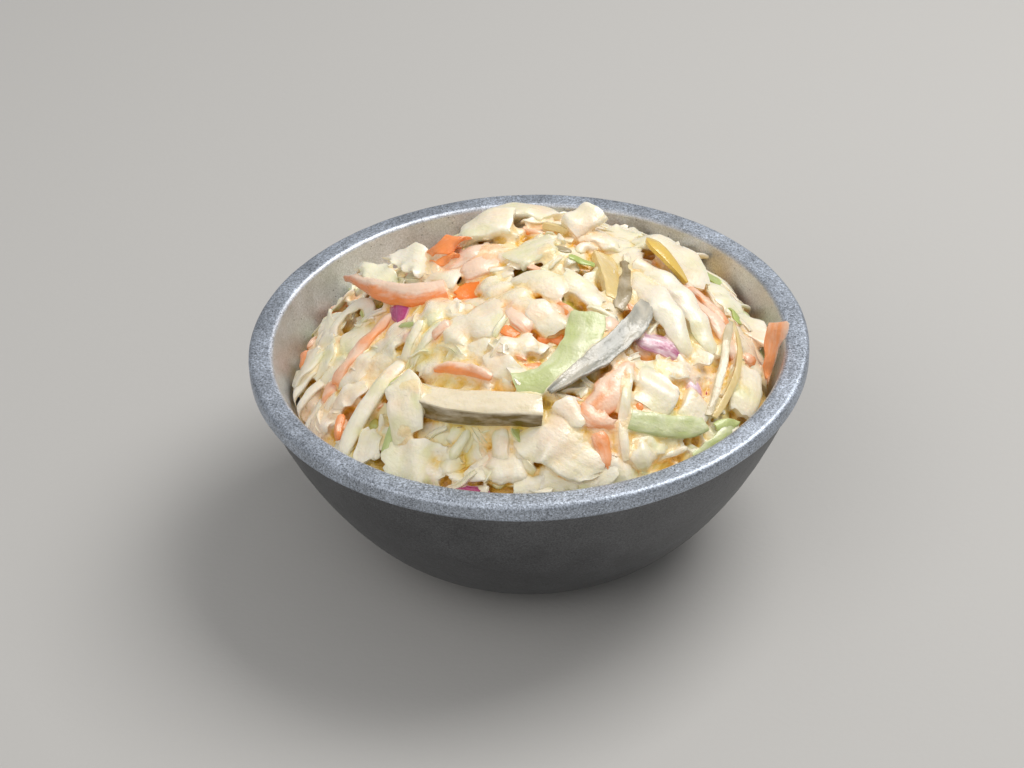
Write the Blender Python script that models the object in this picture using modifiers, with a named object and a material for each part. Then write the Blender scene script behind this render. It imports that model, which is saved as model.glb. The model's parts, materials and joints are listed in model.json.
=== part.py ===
"""Coleslaw heaped in a small cast-aluminium bowl, at true size, in metres.

Two pieces are made. The bowl is one turned casting: a flat foot, a bellied wall and a thick rim whose
band stands proud of the wall. The coleslaw is one solid that fills the bowl to its inner wall and mounds
up above the rim, with the lumps and crossing shreds of a real heap on its skin.

The origin is the centre of the foot. +Z is up, -Y is the front and bearings are counted from +X towards +Y.
"""
import math
import random

import bpy
from mathutils import Vector, noise

# Bowl
RIM_RADIUS = 0.0600
BOWL_HEIGHT = 0.0470
FOOT_RADIUS = 0.0220
FLOOR_THICKNESS = 0.0032
INNER_FOOT_RADIUS = 0.0205
RIM_WIDTH = 0.0054
RIM_ROUNDING = 0.0012
BAND_HEIGHT = 0.0042
BAND_PROUD = 0.0015
BELLY = 1.74

# Heap of coleslaw
WALL_GAP = 0.0003
CROWN_HEIGHT = 0.0155
CROWN_PLACE = Vector((0.0030, 0.0030))
# Where the skin meets the wall, below the rim's top, and how full the shoulder above it is, at each
# eighth of a turn from +X.
SHOULDERS = (
    (0.0085, 2.3),
    (0.0050, 2.5),
    (0.0035, 2.2),
    (0.0090, 2.1),
    (0.0112, 2.0),
    (0.0070, 2.3),
    (0.0040, 2.5),
    (0.0065, 2.5),
)
EDGE_FADE = 24
EDGE_WANDER = 0.0008
EDGE_WAVES = 3
EDGE_WAVE_LEVEL = 0.5
LUMP_SIZE = 0.0130
LUMP_HEIGHT = 0.0034
SHRED_COUNT = 150
SHRED_LENGTHS = (0.010, 0.026)
SHRED_WIDTHS = (0.0045, 0.0080)
SHRED_HEIGHTS = (0.0008, 0.0024)
SHRED_SEED = 14

# Fineness
TURN_STEPS = 64
WALL_STEPS = 10
ROUNDING_STEPS = 3
SKIN_RINGS = 34
FILL_STEPS = 7
BLANK_STEP = 0.001
MERGE_DISTANCE = 0.00001
SHARP_ANGLE = math.radians(50)

# Finishes
ALUMINIUM_COLOR = (0.42, 0.43, 0.45)
ALUMINIUM_ROUGHNESS = 0.45
SLAW_COLOR = (0.86, 0.79, 0.62)
SLAW_ROUGHNESS = 0.40

GOLDEN_TURN = math.pi * (3 - math.sqrt(5))
QUARTER_TURN = math.pi / 2
FULL_TURN = 2 * math.pi


def wall_point(share, foot, top_radius, low, high):
    """Return (radius, height) on a bellied wall, from its foot (share 0) to its top (share 1)."""
    angle = share * QUARTER_TURN
    radius = foot + (top_radius - foot) * math.sin(angle)
    height = low + (high - low) * (1 - max(math.cos(angle), 0.0) ** BELLY)
    return radius, height


def outer_wall(share):
    """Return (radius, height) on the bowl's outside, below its rim band."""
    return wall_point(share, FOOT_RADIUS, RIM_RADIUS - BAND_PROUD, 0.0, BOWL_HEIGHT - BAND_HEIGHT)


def inner_wall(share, gap=0.0):
    """Return (radius, height) on the bowl's inside, or a gap inward of it."""
    foot = INNER_FOOT_RADIUS - gap
    top_radius = RIM_RADIUS - RIM_WIDTH - gap
    return wall_point(share, foot, top_radius, FLOOR_THICKNESS + gap, BOWL_HEIGHT - RIM_ROUNDING)


def inner_share(height, gap):
    """Return how far up the inner wall, from 0 to 1, a height lies."""
    low = FLOOR_THICKNESS + gap
    part = (height - low) / (BOWL_HEIGHT - RIM_ROUNDING - low)
    return math.acos((1 - part) ** (1 / BELLY)) / QUARTER_TURN


def rounding(centre_radius, centre_height, start, end):
    """Return the points of a rim rounding, between two angles counted from +radius towards +Z."""
    points = []
    for step in range(ROUNDING_STEPS + 1):
        angle = start + (end - start) * step / ROUNDING_STEPS
        radius = centre_radius + RIM_ROUNDING * math.cos(angle)
        height = centre_height + RIM_ROUNDING * math.sin(angle)
        points.append((radius, height))
    return points


def bowl_profile():
    """Return the bowl's closed half section, up its inside, over the rim and down its outside."""
    inner_round = RIM_RADIUS - RIM_WIDTH + RIM_ROUNDING
    outer_round = RIM_RADIUS - RIM_ROUNDING
    shoulder = BOWL_HEIGHT - RIM_ROUNDING
    points = [(0.0, FLOOR_THICKNESS)]
    points += [inner_wall(step / WALL_STEPS) for step in range(WALL_STEPS)]
    points += rounding(inner_round, shoulder, math.pi, QUARTER_TURN)
    points += rounding(outer_round, shoulder, QUARTER_TURN, 0.0)
    points += rounding(outer_round, BOWL_HEIGHT - BAND_HEIGHT + RIM_ROUNDING, 0.0, -QUARTER_TURN)
    points += [outer_wall(1 - step / WALL_STEPS) for step in range(WALL_STEPS + 1)]
    points.append((0.0, 0.0))
    return points


def blended(values, bearing):
    """Return the smooth value at a bearing between values that stand evenly round the bowl."""
    place = (bearing / FULL_TURN * len(values)) % len(values)
    index = int(place)
    share = (1 - math.cos((place - index) * math.pi)) / 2
    return values[index] * (1 - share) + values[(index + 1) % len(values)] * share


def edge_height(bearing):
    """Return the height at which the heap's skin meets the wall."""
    depth = blended([shoulder[0] for shoulder in SHOULDERS], bearing)
    wave_place = (EDGE_WAVES * math.cos(bearing), EDGE_WAVES * math.sin(bearing), EDGE_WAVE_LEVEL)
    return BOWL_HEIGHT - depth + EDGE_WANDER * noise.noise(Vector(wave_place))


class Shred:
    """One strip that lies on the heap and raises its skin."""

    def __init__(self, index, draw):
        reach = math.sqrt((index + 0.5) / SHRED_COUNT)
        bearing = index * GOLDEN_TURN
        self.place = Vector((math.cos(bearing), math.sin(bearing))) * reach * inner_wall(1.0)[0]
        heading = draw.uniform(0, math.pi)
        self.along = Vector((math.cos(heading), math.sin(heading)))
        self.half_length = draw.uniform(*SHRED_LENGTHS) / 2
        self.half_width = draw.uniform(*SHRED_WIDTHS) / 2
        self.height = draw.uniform(*SHRED_HEIGHTS)

    def lift(self, place):
        """Return how far this strip raises the skin at a place."""
        offset = place - self.place
        run = offset.dot(self.along)
        side = (offset - self.along * run).length
        past_end = max(abs(run) - self.half_length, 0.0)
        distance = math.hypot(side, past_end) / self.half_width
        return self.height * max(1 - distance * distance, 0.0)


def skin_point(reach, bearing, shreds):
    """Return a point of the heap's skin, from the crown (reach 0) to the wall (reach 1)."""
    level = edge_height(bearing)
    edge_radius = inner_wall(inner_share(level, WALL_GAP), WALL_GAP)[0]
    edge = Vector((math.cos(bearing), math.sin(bearing))) * edge_radius
    place = CROWN_PLACE.lerp(edge, reach)
    fullness = blended([shoulder[1] for shoulder in SHOULDERS], bearing)
    mound = (BOWL_HEIGHT + CROWN_HEIGHT - level) * (1 - reach ** fullness)
    lumps = LUMP_HEIGHT * noise.noise(Vector((place.x, place.y, 0.0)) / LUMP_SIZE)
    relief = lumps + max(shred.lift(place) for shred in shreds)
    fade = 1 - reach ** EDGE_FADE
    return place.x, place.y, level + mound + relief * fade


def fill_point(share, bearing):
    """Return a point of the heap's underside, from the floor's edge (share 0) to the skin (share 1)."""
    top_share = inner_share(edge_height(bearing), WALL_GAP)
    radius, height = inner_wall(share * top_share, WALL_GAP)
    return radius * math.cos(bearing), radius * math.sin(bearing), height


def turned_mesh(name, profile):
    """Return a profile turned a full turn about Z, as a plain closed mesh."""
    mesh = bpy.data.meshes.new(name)
    edges = [(index, index + 1) for index in range(len(profile) - 1)]
    mesh.from_pydata([(radius, 0.0, height) for radius, height in profile], edges, [])
    blank = bpy.data.objects.new(name + "_profile", mesh)
    bpy.context.scene.collection.objects.link(blank)
    screw = blank.modifiers.new("Turn", "SCREW")
    screw.axis = "Z"
    screw.angle = FULL_TURN
    screw.steps = TURN_STEPS
    screw.render_steps = TURN_STEPS
    screw.use_merge_vertices = True
    screw.merge_threshold = MERGE_DISTANCE
    screw.use_smooth_shade = True
    turned = bpy.data.meshes.new_from_object(blank.evaluated_get(bpy.context.evaluated_depsgraph_get()))
    bpy.data.objects.remove(blank)
    bpy.data.meshes.remove(mesh)
    turned.name = name
    return turned


def heap_mesh():
    """Return the coleslaw: a turned blank whose rings are moved onto the heap's skin and the inner wall."""
    crown = BOWL_HEIGHT + CROWN_HEIGHT
    rim_radius = inner_wall(1.0)[0]
    skin = [(rim_radius * ring / SKIN_RINGS, crown) for ring in range(SKIN_RINGS + 1)]
    floor = FLOOR_THICKNESS + WALL_GAP
    fill = [(rim_radius, floor + BLANK_STEP * step) for step in range(FILL_STEPS - 1, -1, -1)]
    mesh = turned_mesh("coleslaw", skin + fill + [(0.0, floor)])
    draw = random.Random(SHRED_SEED)
    shreds = [Shred(index, draw) for index in range(SHRED_COUNT)]
    for vertex in mesh.vertices:
        radius = math.hypot(vertex.co.x, vertex.co.y)
        bearing = math.atan2(vertex.co.y, vertex.co.x)
        if vertex.co.z > crown - MERGE_DISTANCE:
            vertex.co = skin_point(radius / rim_radius, bearing, shreds)
        elif radius > MERGE_DISTANCE:
            share = (vertex.co.z - floor) / (BLANK_STEP * FILL_STEPS)
            vertex.co = fill_point(share, bearing)
    return mesh


def material(name, color, metallic, roughness):
    """Return a Principled material."""
    new = bpy.data.materials.new(name)
    new.use_nodes = True
    shader = new.node_tree.nodes["Principled BSDF"]
    shader.inputs["Base Color"].default_value = (*color, 1.0)
    shader.inputs["Metallic"].default_value = metallic
    shader.inputs["Roughness"].default_value = roughness
    return new


def add_part(name, mesh, finish, collection):
    """Put a finished mesh in the part's collection as one named object."""
    mesh.materials.clear()
    mesh.materials.append(finish)
    part = bpy.data.objects.new(name, mesh)
    collection.objects.link(part)
    return part


def main():
    """Build the bowl and the coleslaw."""
    for old in list(bpy.data.objects):
        bpy.data.objects.remove(old)
    collection = bpy.data.collections.new("coleslaw_in_bowl")
    bpy.context.scene.collection.children.link(collection)

    cast_aluminium = material("cast_aluminium", ALUMINIUM_COLOR, 1.0, ALUMINIUM_ROUGHNESS)
    bowl = turned_mesh("bowl", bowl_profile())
    bowl.set_sharp_from_angle(angle=SHARP_ANGLE)
    add_part("bowl", bowl, cast_aluminium, collection)

    dressed_slaw = material("dressed_slaw", SLAW_COLOR, 0.0, SLAW_ROUGHNESS)
    add_part("coleslaw", heap_mesh(), dressed_slaw, collection)


main()
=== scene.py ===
"""The looks of a portion of coleslaw, heaped in a small cast-aluminium bowl.

The bowl is turned again at a finer step and given a cast, tumbled skin. The heap is made of its real
pieces: cut cabbage, carrot, gherkin and red onion, laid one by one where they matter and strewn by Geometry
Nodes elsewhere, over a smaller core. A dressing is then drawn over all of them as one soft skin that
fills the joints between neighbouring pieces and thins out on the clean ones.

Lengths are in millimetres until a mesh is made. +Z is up, -Y is the front, and the origin is the centre
of the bowl's foot.
"""

import json
import logging
import math
import random
from dataclasses import dataclass, field, replace
from enum import Enum
from functools import partial

import bmesh
import bpy
import numpy as np
import openvdb
from mathutils import Euler, Matrix, Vector
from mathutils.bvhtree import BVHTree
from mathutils.kdtree import KDTree

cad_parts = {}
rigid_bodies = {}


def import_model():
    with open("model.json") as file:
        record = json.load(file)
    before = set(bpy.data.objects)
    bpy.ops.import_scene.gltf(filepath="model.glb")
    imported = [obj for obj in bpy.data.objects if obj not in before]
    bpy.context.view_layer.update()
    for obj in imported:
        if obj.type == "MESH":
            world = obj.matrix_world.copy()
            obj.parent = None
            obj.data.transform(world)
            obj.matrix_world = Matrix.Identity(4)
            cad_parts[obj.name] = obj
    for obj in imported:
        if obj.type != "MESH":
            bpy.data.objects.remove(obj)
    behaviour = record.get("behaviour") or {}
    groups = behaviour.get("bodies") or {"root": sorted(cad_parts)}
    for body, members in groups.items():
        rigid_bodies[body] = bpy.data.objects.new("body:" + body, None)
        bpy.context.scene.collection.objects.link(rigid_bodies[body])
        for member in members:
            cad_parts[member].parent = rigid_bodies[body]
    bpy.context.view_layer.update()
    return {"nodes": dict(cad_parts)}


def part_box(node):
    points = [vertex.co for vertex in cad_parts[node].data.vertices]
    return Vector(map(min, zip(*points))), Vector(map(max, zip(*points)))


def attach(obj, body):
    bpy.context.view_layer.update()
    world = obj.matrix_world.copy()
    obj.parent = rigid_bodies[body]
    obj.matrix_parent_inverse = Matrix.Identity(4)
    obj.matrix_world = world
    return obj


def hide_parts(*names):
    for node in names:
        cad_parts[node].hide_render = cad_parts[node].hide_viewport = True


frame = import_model()

MM = 0.001
FULL_TURN = 2 * math.pi
QUARTER_TURN = math.pi / 2
BODY = "root"

logging.basicConfig(level=logging.INFO, format="%(message)s")
log = logging.getLogger("coleslaw")


class Kind(Enum):
    """The kinds of thing in the salad, named as their pieces and material slots are."""

    WHITE_CABBAGE = "white_cabbage"
    GREEN_CABBAGE = "green_cabbage"
    CARROT = "carrot"
    GHERKIN = "gherkin"
    RED_ONION = "red_onion"


class Side(Enum):
    """The face of a cut piece that carries its skin."""

    NONE = "none"
    LEFT = "left"
    RIGHT = "right"
    UNDER = "under"
    OVER = "over"


def srgb(red: int, green: int, blue: int) -> tuple[float, float, float, float]:
    """Return a display colour, given in 0 to 255, as a linear colour.

    Args:
        red: Red, 0 to 255.
        green: Green, 0 to 255.
        blue: Blue, 0 to 255.

    Returns:
        The linear red, green and blue, with full alpha.
    """
    def linear(value: int) -> float:
        """Return one channel, made linear."""
        share = value / 255
        return share / 12.92 if share <= 0.04045 else ((share + 0.055) / 1.055) ** 2.4
    return linear(red), linear(green), linear(blue), 1.0


# Painted shade: ochre, then brown, multiplied into the colour in the hollows between pieces.
PAINTED_SHADE_OCHRE = srgb(246, 216, 104)
PAINTED_SHADE_BROWN = srgb(200, 166, 70)
PEACH = srgb(252, 214, 184)
LIME = srgb(230, 232, 174)
# Painted highlight: white mixed into the colour along ridges and edges.
PAINTED_HIGHLIGHT_WHITE = srgb(255, 251, 242)


class NodeBench:
    """A node tree under construction."""

    def __init__(self, tree: bpy.types.NodeTree) -> None:
        """Start with an empty tree.

        Args:
            tree: The tree to build in.
        """
        self.tree = tree
        tree.nodes.clear()

    def add(self, kind: str, inputs: dict | None = None, **settings: object) -> bpy.types.Node:
        """Add one node.

        Args:
            kind: The node's type name.
            inputs: Value or feeding socket for each input, by name or index.
            settings: The node's own properties.

        Returns:
            The new node.
        """
        node = self.tree.nodes.new(kind)
        for name, value in settings.items():
            setattr(node, name, value)
        for name, value in (inputs or {}).items():
            if isinstance(value, bpy.types.NodeSocket):
                self.tree.links.new(value, node.inputs[name])
            else:
                node.inputs[name].default_value = value
        return node

    def math(self, operation: str, first: object, second: object = 0.0) -> bpy.types.NodeSocket:
        """Add a math node and return its result socket."""
        return self.add("ShaderNodeMath", {0: first, 1: second}, operation=operation).outputs[0]

    def scaled(self, vector: object, factor: object) -> bpy.types.NodeSocket:
        """Add a vector scale and return its result socket."""
        node = self.add("ShaderNodeVectorMath", {0: vector, "Scale": factor}, operation="SCALE")
        return node.outputs[0]

    def noise(self, place: object, size_mm: float, detail: float = 3.0, **inputs: object) -> bpy.types.NodeSocket:
        """Add a noise whose features are about so many millimetres and return its value socket."""
        sockets = {"Vector": place, "Scale": 1.0 / (size_mm * MM), "Detail": detail}
        sockets.update(inputs)
        return self.add("ShaderNodeTexNoise", sockets).outputs[0]

    def span(self, value: object, low: float, high: float, to_low: float = 0.0, to_high: float = 1.0,
             ) -> bpy.types.NodeSocket:
        """Add a clamped map from one range to another and return its result socket."""
        sockets = {"Value": value, "From Min": low, "From Max": high, "To Min": to_low, "To Max": to_high}
        return self.add("ShaderNodeMapRange", sockets).outputs[0]

    def mix(self, share: object, first: object, second: object, blend: str = "MIX") -> bpy.types.NodeSocket:
        """Add a colour mix and return its result socket."""
        node = self.add("ShaderNodeMix", data_type="RGBA", blend_type=blend)
        for socket, value in ((node.inputs[0], share), (node.inputs[6], first), (node.inputs[7], second)):
            if isinstance(value, bpy.types.NodeSocket):
                self.tree.links.new(value, socket)
            else:
                socket.default_value = value
        return node.outputs[2]


@dataclass(frozen=True)
class Finish:
    """A surface finish: a name and the nodes that make its look."""

    name: str

    def make(self) -> bpy.types.Material:
        """Return the finish as a material."""
        material = bpy.data.materials.new(self.name)
        material.use_nodes = True
        bench = NodeBench(material.node_tree)
        output = bench.add("ShaderNodeOutputMaterial")
        shader = bench.add("ShaderNodeBsdfPrincipled")
        bench.tree.links.new(shader.outputs[0], output.inputs["Surface"])
        place = bench.add("ShaderNodeTexCoord").outputs["Object"]
        self.dress(bench, shader, place)
        return material

    def dress(self, bench: NodeBench, shader: bpy.types.Node, place: bpy.types.NodeSocket) -> None:
        """Set the shader's sockets.

        Args:
            bench: The tree to add nodes to.
            shader: The Principled shader.
            place: The object-space position.
        """
        raise NotImplementedError

    @staticmethod
    def tinted(bench: NodeBench, color: bpy.types.NodeSocket, place: bpy.types.NodeSocket) -> bpy.types.NodeSocket:
        """Return a cream colour that wanders towards peach in places and towards lime in others."""
        drift = bench.noise(place, 9.0, 2.0)
        color = bench.mix(bench.span(drift, 0.5, 0.68, 0.0, 0.5), color, PEACH)
        return bench.mix(bench.span(drift, 0.46, 0.32, 0.0, 0.55), color, LIME)

    @staticmethod
    def shaded(bench: NodeBench, color: bpy.types.NodeSocket, ridge_highlight: float) -> bpy.types.NodeSocket:
        """Return a colour with painted shade, ochre then brown, in the hollows, and a painted highlight, whiter, along
        the ridges.
        """
        cavity = bench.add("ShaderNodeAttribute", attribute_name="cavity").outputs["Fac"]
        # Painted highlight: the ridges are mixed towards white, as far as the given share.
        highlighted = bench.mix(bench.span(cavity, -0.05, -0.5, 0.0, ridge_highlight), color, PAINTED_HIGHLIGHT_WHITE)
        # Painted shade: ochre multiplied into the hollows, then brown into the deepest of them.
        ochre_shaded = bench.mix(bench.span(cavity, 0.02, 0.6, 0.0, 0.95), highlighted, PAINTED_SHADE_OCHRE, "MULTIPLY")
        return bench.mix(bench.span(cavity, 0.55, 1.0, 0.0, 0.9), ochre_shaded, PAINTED_SHADE_BROWN, "MULTIPLY")

    @staticmethod
    def bump(bench: NodeBench, shader: bpy.types.Node, layers: list[tuple[object, float]]) -> None:
        """Stack bumps on the shader's normal.

        Args:
            bench: The tree to add nodes to.
            shader: The Principled shader.
            layers: Height socket (0 to 1) and depth in millimetres of each layer, coarsest first.
        """
        normal = None
        for height, depth in layers:
            sockets = {"Height": height, "Distance": depth * MM, "Strength": 1.0}
            if normal is not None:
                sockets["Normal"] = normal
            normal = bench.add("ShaderNodeBump", sockets).outputs[0]
        bench.tree.links.new(normal, shader.inputs["Normal"])


@dataclass(frozen=True)
class CastAluminium(Finish):
    """Cast and tumbled aluminium: speckled and pitted, with painted shade that darkens the outside and painted light
    that brightens the rim and the inside.
    """

    # Painted shade and painted light: body is a darker copy of the metal for the outside, wall and rim are lighter
    # copies for the inside and the rim.
    body: tuple = srgb(108, 109, 111)
    wall: tuple = srgb(212, 214, 220)
    rim: tuple = srgb(176, 184, 196)
    pit: tuple = srgb(60, 60, 62)
    grain: float = 0.36
    body_speckle: tuple[float, float] = (0.60, 1.42)
    wall_speckle: tuple[float, float] = (0.78, 1.20)
    rim_speckle: tuple[float, float] = (0.36, 1.56)
    cloud: float = 9.0

    def dress(self, bench: NodeBench, shader: bpy.types.Node, place: bpy.types.NodeSocket) -> None:
        """Set the shader's sockets; see Finish.dress."""
        grain = bench.noise(place, self.grain, 2.0, Roughness=0.7)
        cloud = bench.noise(place, self.cloud, 4.0, Roughness=0.6)
        cells = bench.add("ShaderNodeTexVoronoi", {"Vector": place, "Scale": 1 / (1.1 * MM)})
        pits = bench.span(cells.outputs["Distance"], 0.0, 0.22, 1.0, 0.0)
        pits = bench.math("MULTIPLY", pits, bench.span(bench.noise(place, 2.5, 1.0), 0.54, 0.6))
        inside = bench.add("ShaderNodeAttribute", attribute_name="inside").outputs["Fac"]
        rim = bench.add("ShaderNodeAttribute", attribute_name="rim").outputs["Fac"]
        # Painted shade on the outside, painted light on the inside wall and the rim.
        base = bench.mix(rim, bench.mix(inside, self.body, self.wall), self.rim)
        speckles = [bench.span(grain, 0.3, 0.7, *given)
                    for given in (self.body_speckle, self.wall_speckle, self.rim_speckle)]
        speckle = bench.mix(rim, bench.mix(inside, *speckles[:2]), speckles[2])
        shade = bench.math("MULTIPLY", speckle, bench.span(cloud, 0.35, 0.65, 0.88, 1.1))
        color = bench.scaled(base, shade)
        color = bench.mix(pits, color, self.pit)
        bench.tree.links.new(color, shader.inputs["Base Color"])
        shader.inputs["Metallic"].default_value = 0.9
        rough = bench.math("ADD", bench.span(cloud, 0.3, 0.7, 0.36, 0.48), bench.span(grain, 0.3, 0.7, 0.0, 0.14))
        bench.tree.links.new(rough, shader.inputs["Roughness"])
        hollow = bench.math("SUBTRACT", 1.0, pits)
        self.bump(bench, shader, [(cloud, 0.25), (bench.noise(place, 1.3, 3.0), 0.06), (grain, 0.04), (hollow, 0.10)])


@dataclass(frozen=True)
class Dressing(Finish):
    """The creamy dressing, tinted by what lies just under it."""

    cream: tuple = srgb(251, 240, 218)
    butter: tuple = srgb(250, 225, 172)

    def dress(self, bench: NodeBench, shader: bpy.types.Node, place: bpy.types.NodeSocket) -> None:
        """Set the shader's sockets; see Finish.dress."""
        cloud = bench.noise(place, 6.0, 3.0)
        fine = bench.noise(place, 1.1, 4.0)
        color = bench.mix(bench.span(cloud, 0.35, 0.65), self.cream, self.butter)
        juice = bench.add("ShaderNodeAttribute", attribute_name="juice")
        color = self.tinted(bench, color, place)
        color = bench.mix(juice.outputs["Alpha"], color, juice.outputs["Color"])
        # Painted shade in the hollows and a painted highlight along the ridges.
        color = self.shaded(bench, color, 0.5)
        bench.tree.links.new(color, shader.inputs["Base Color"])
        rough = bench.span(fine, 0.3, 0.7, 0.18, 0.38)
        bench.tree.links.new(rough, shader.inputs["Roughness"])
        shader.inputs["Subsurface Weight"].default_value = 0.25
        shader.inputs["Subsurface Radius"].default_value = (1.0, 0.85, 0.6)
        shader.inputs["Subsurface Scale"].default_value = 0.5 * MM
        shader.inputs["Coat Weight"].default_value = 0.35
        shader.inputs["Coat Roughness"].default_value = 0.14
        self.bump(bench, shader, [(bench.noise(place, 2.8, 3.0), 0.50), (fine, 0.24), (bench.noise(place, 0.45, 2.0), 0.04)])


@dataclass(frozen=True)
class Vegetable(Finish):
    """A moist cut vegetable, more or less coated with dressing."""

    flesh: tuple = srgb(240, 234, 200)
    rind: tuple = srgb(226, 226, 160)
    coat: tuple = srgb(251, 239, 216)
    fibre: float = 0.5
    fibre_depth: float = 0.03
    coated: float = 0.5
    gloss: float = 0.30
    glow: float = 0.25
    cover: float = 0.85
    streak: float = 0.2
    deep: tuple = srgb(230, 192, 76)
    veil: tuple = srgb(160, 164, 160)
    # Share of painted highlight along the ridges; above 0.3 the peach and lime drift is added as well.
    ridge_highlight: float = 0.06

    def dress(self, bench: NodeBench, shader: bpy.types.Node, place: bpy.types.NodeSocket) -> None:
        """Set the shader's sockets; see Finish.dress."""
        tone = bench.add("ShaderNodeAttribute", attribute_name="tone").outputs["Fac"]
        bare = bench.add("ShaderNodeAttribute", attribute_name="bare").outputs["Fac"]
        uv = bench.add("ShaderNodeUVMap", uv_map="cut").outputs[0]
        stretched = bench.add("ShaderNodeMapping", {"Vector": uv, "Scale": (0.12, 1.0, 1.0)}).outputs[0]
        fibres = bench.noise(stretched, self.fibre, 3.0)
        along = bench.add("ShaderNodeMapping", {"Vector": uv, "Scale": (0.4, 1.0, 1.0)}).outputs[0]
        drawn_out = bench.add("ShaderNodeVectorMath", {0: along, 1: bench.scaled(place, 0.35)}).outputs[0]
        cloud = bench.noise(drawn_out, 2.8, 3.0, Roughness=0.5)
        body = bench.math("ADD", tone, bench.span(fibres, 0.3, 0.7, -self.streak, self.streak))
        color = bench.mix(body, self.flesh, self.rind)
        color = bench.mix(bench.math("MULTIPLY", tone, -1.0), color, self.deep)
        color = bench.mix(bench.span(tone, 1.1, 1.9), color, self.veil)
        smear = bench.math("SUBTRACT", bench.math("ADD", cloud, self.coated), bare)
        smear = bench.span(smear, 0.32, 0.72)
        color = bench.mix(bench.math("MULTIPLY", smear, self.cover), color, self.coat)
        if self.ridge_highlight > 0.3:
            color = self.tinted(bench, color, place)
        # Painted shade in the hollows and a painted highlight along the ridges.
        color = self.shaded(bench, color, self.ridge_highlight)
        bench.tree.links.new(color, shader.inputs["Base Color"])
        rough = bench.span(fibres, 0.3, 0.7, self.gloss - 0.06, self.gloss + 0.1)
        bench.tree.links.new(rough, shader.inputs["Roughness"])
        shader.inputs["Coat Weight"].default_value = 0.4
        shader.inputs["Coat Roughness"].default_value = 0.14
        shader.inputs["Subsurface Weight"].default_value = self.glow
        shader.inputs["Subsurface Radius"].default_value = (1.0, 0.85, 0.6)
        shader.inputs["Subsurface Scale"].default_value = 0.5 * MM
        self.bump(bench, shader, [(bench.noise(place, 2.8, 3.0), 0.30), (smear, 0.10), (bench.noise(place, 0.7, 3.0), 0.06),
                                  (fibres, self.fibre_depth)])


@dataclass(frozen=True)
class StageFloor(Finish):
    """A plain pale matt floor."""

    color: tuple = srgb(188, 187, 185)

    def dress(self, bench: NodeBench, shader: bpy.types.Node, place: bpy.types.NodeSocket) -> None:
        """Set the shader's sockets; see Finish.dress."""
        shader.inputs["Base Color"].default_value = self.color
        shader.inputs["Roughness"].default_value = 0.75
        self.bump(bench, shader, [(bench.noise(place, 1.5, 4.0), 0.05)])


FINISHES = {
    Kind.WHITE_CABBAGE: Vegetable("white_cabbage", srgb(251, 236, 204), srgb(228, 228, 168), coated=0.02,
                                   ridge_highlight=0.5),
    Kind.GREEN_CABBAGE: Vegetable("green_cabbage", srgb(208, 214, 160), srgb(176, 194, 96),
                                   srgb(236, 236, 206), coated=0.10),
    Kind.CARROT: Vegetable("carrot", srgb(252, 172, 110), srgb(248, 136, 48), srgb(253, 228, 206), 0.8, 0.10, 0.06),
    Kind.GHERKIN: Vegetable("gherkin", srgb(230, 216, 180), srgb(116, 94, 30), coated=0.08, gloss=0.18, cover=0.62,
                            streak=0.06, fibre_depth=0.01),
    Kind.RED_ONION: Vegetable("red_onion", srgb(232, 176, 210), srgb(176, 60, 116), srgb(252, 240, 240),
                              coated=0.20, gloss=0.2, cover=0.7),
}


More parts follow.
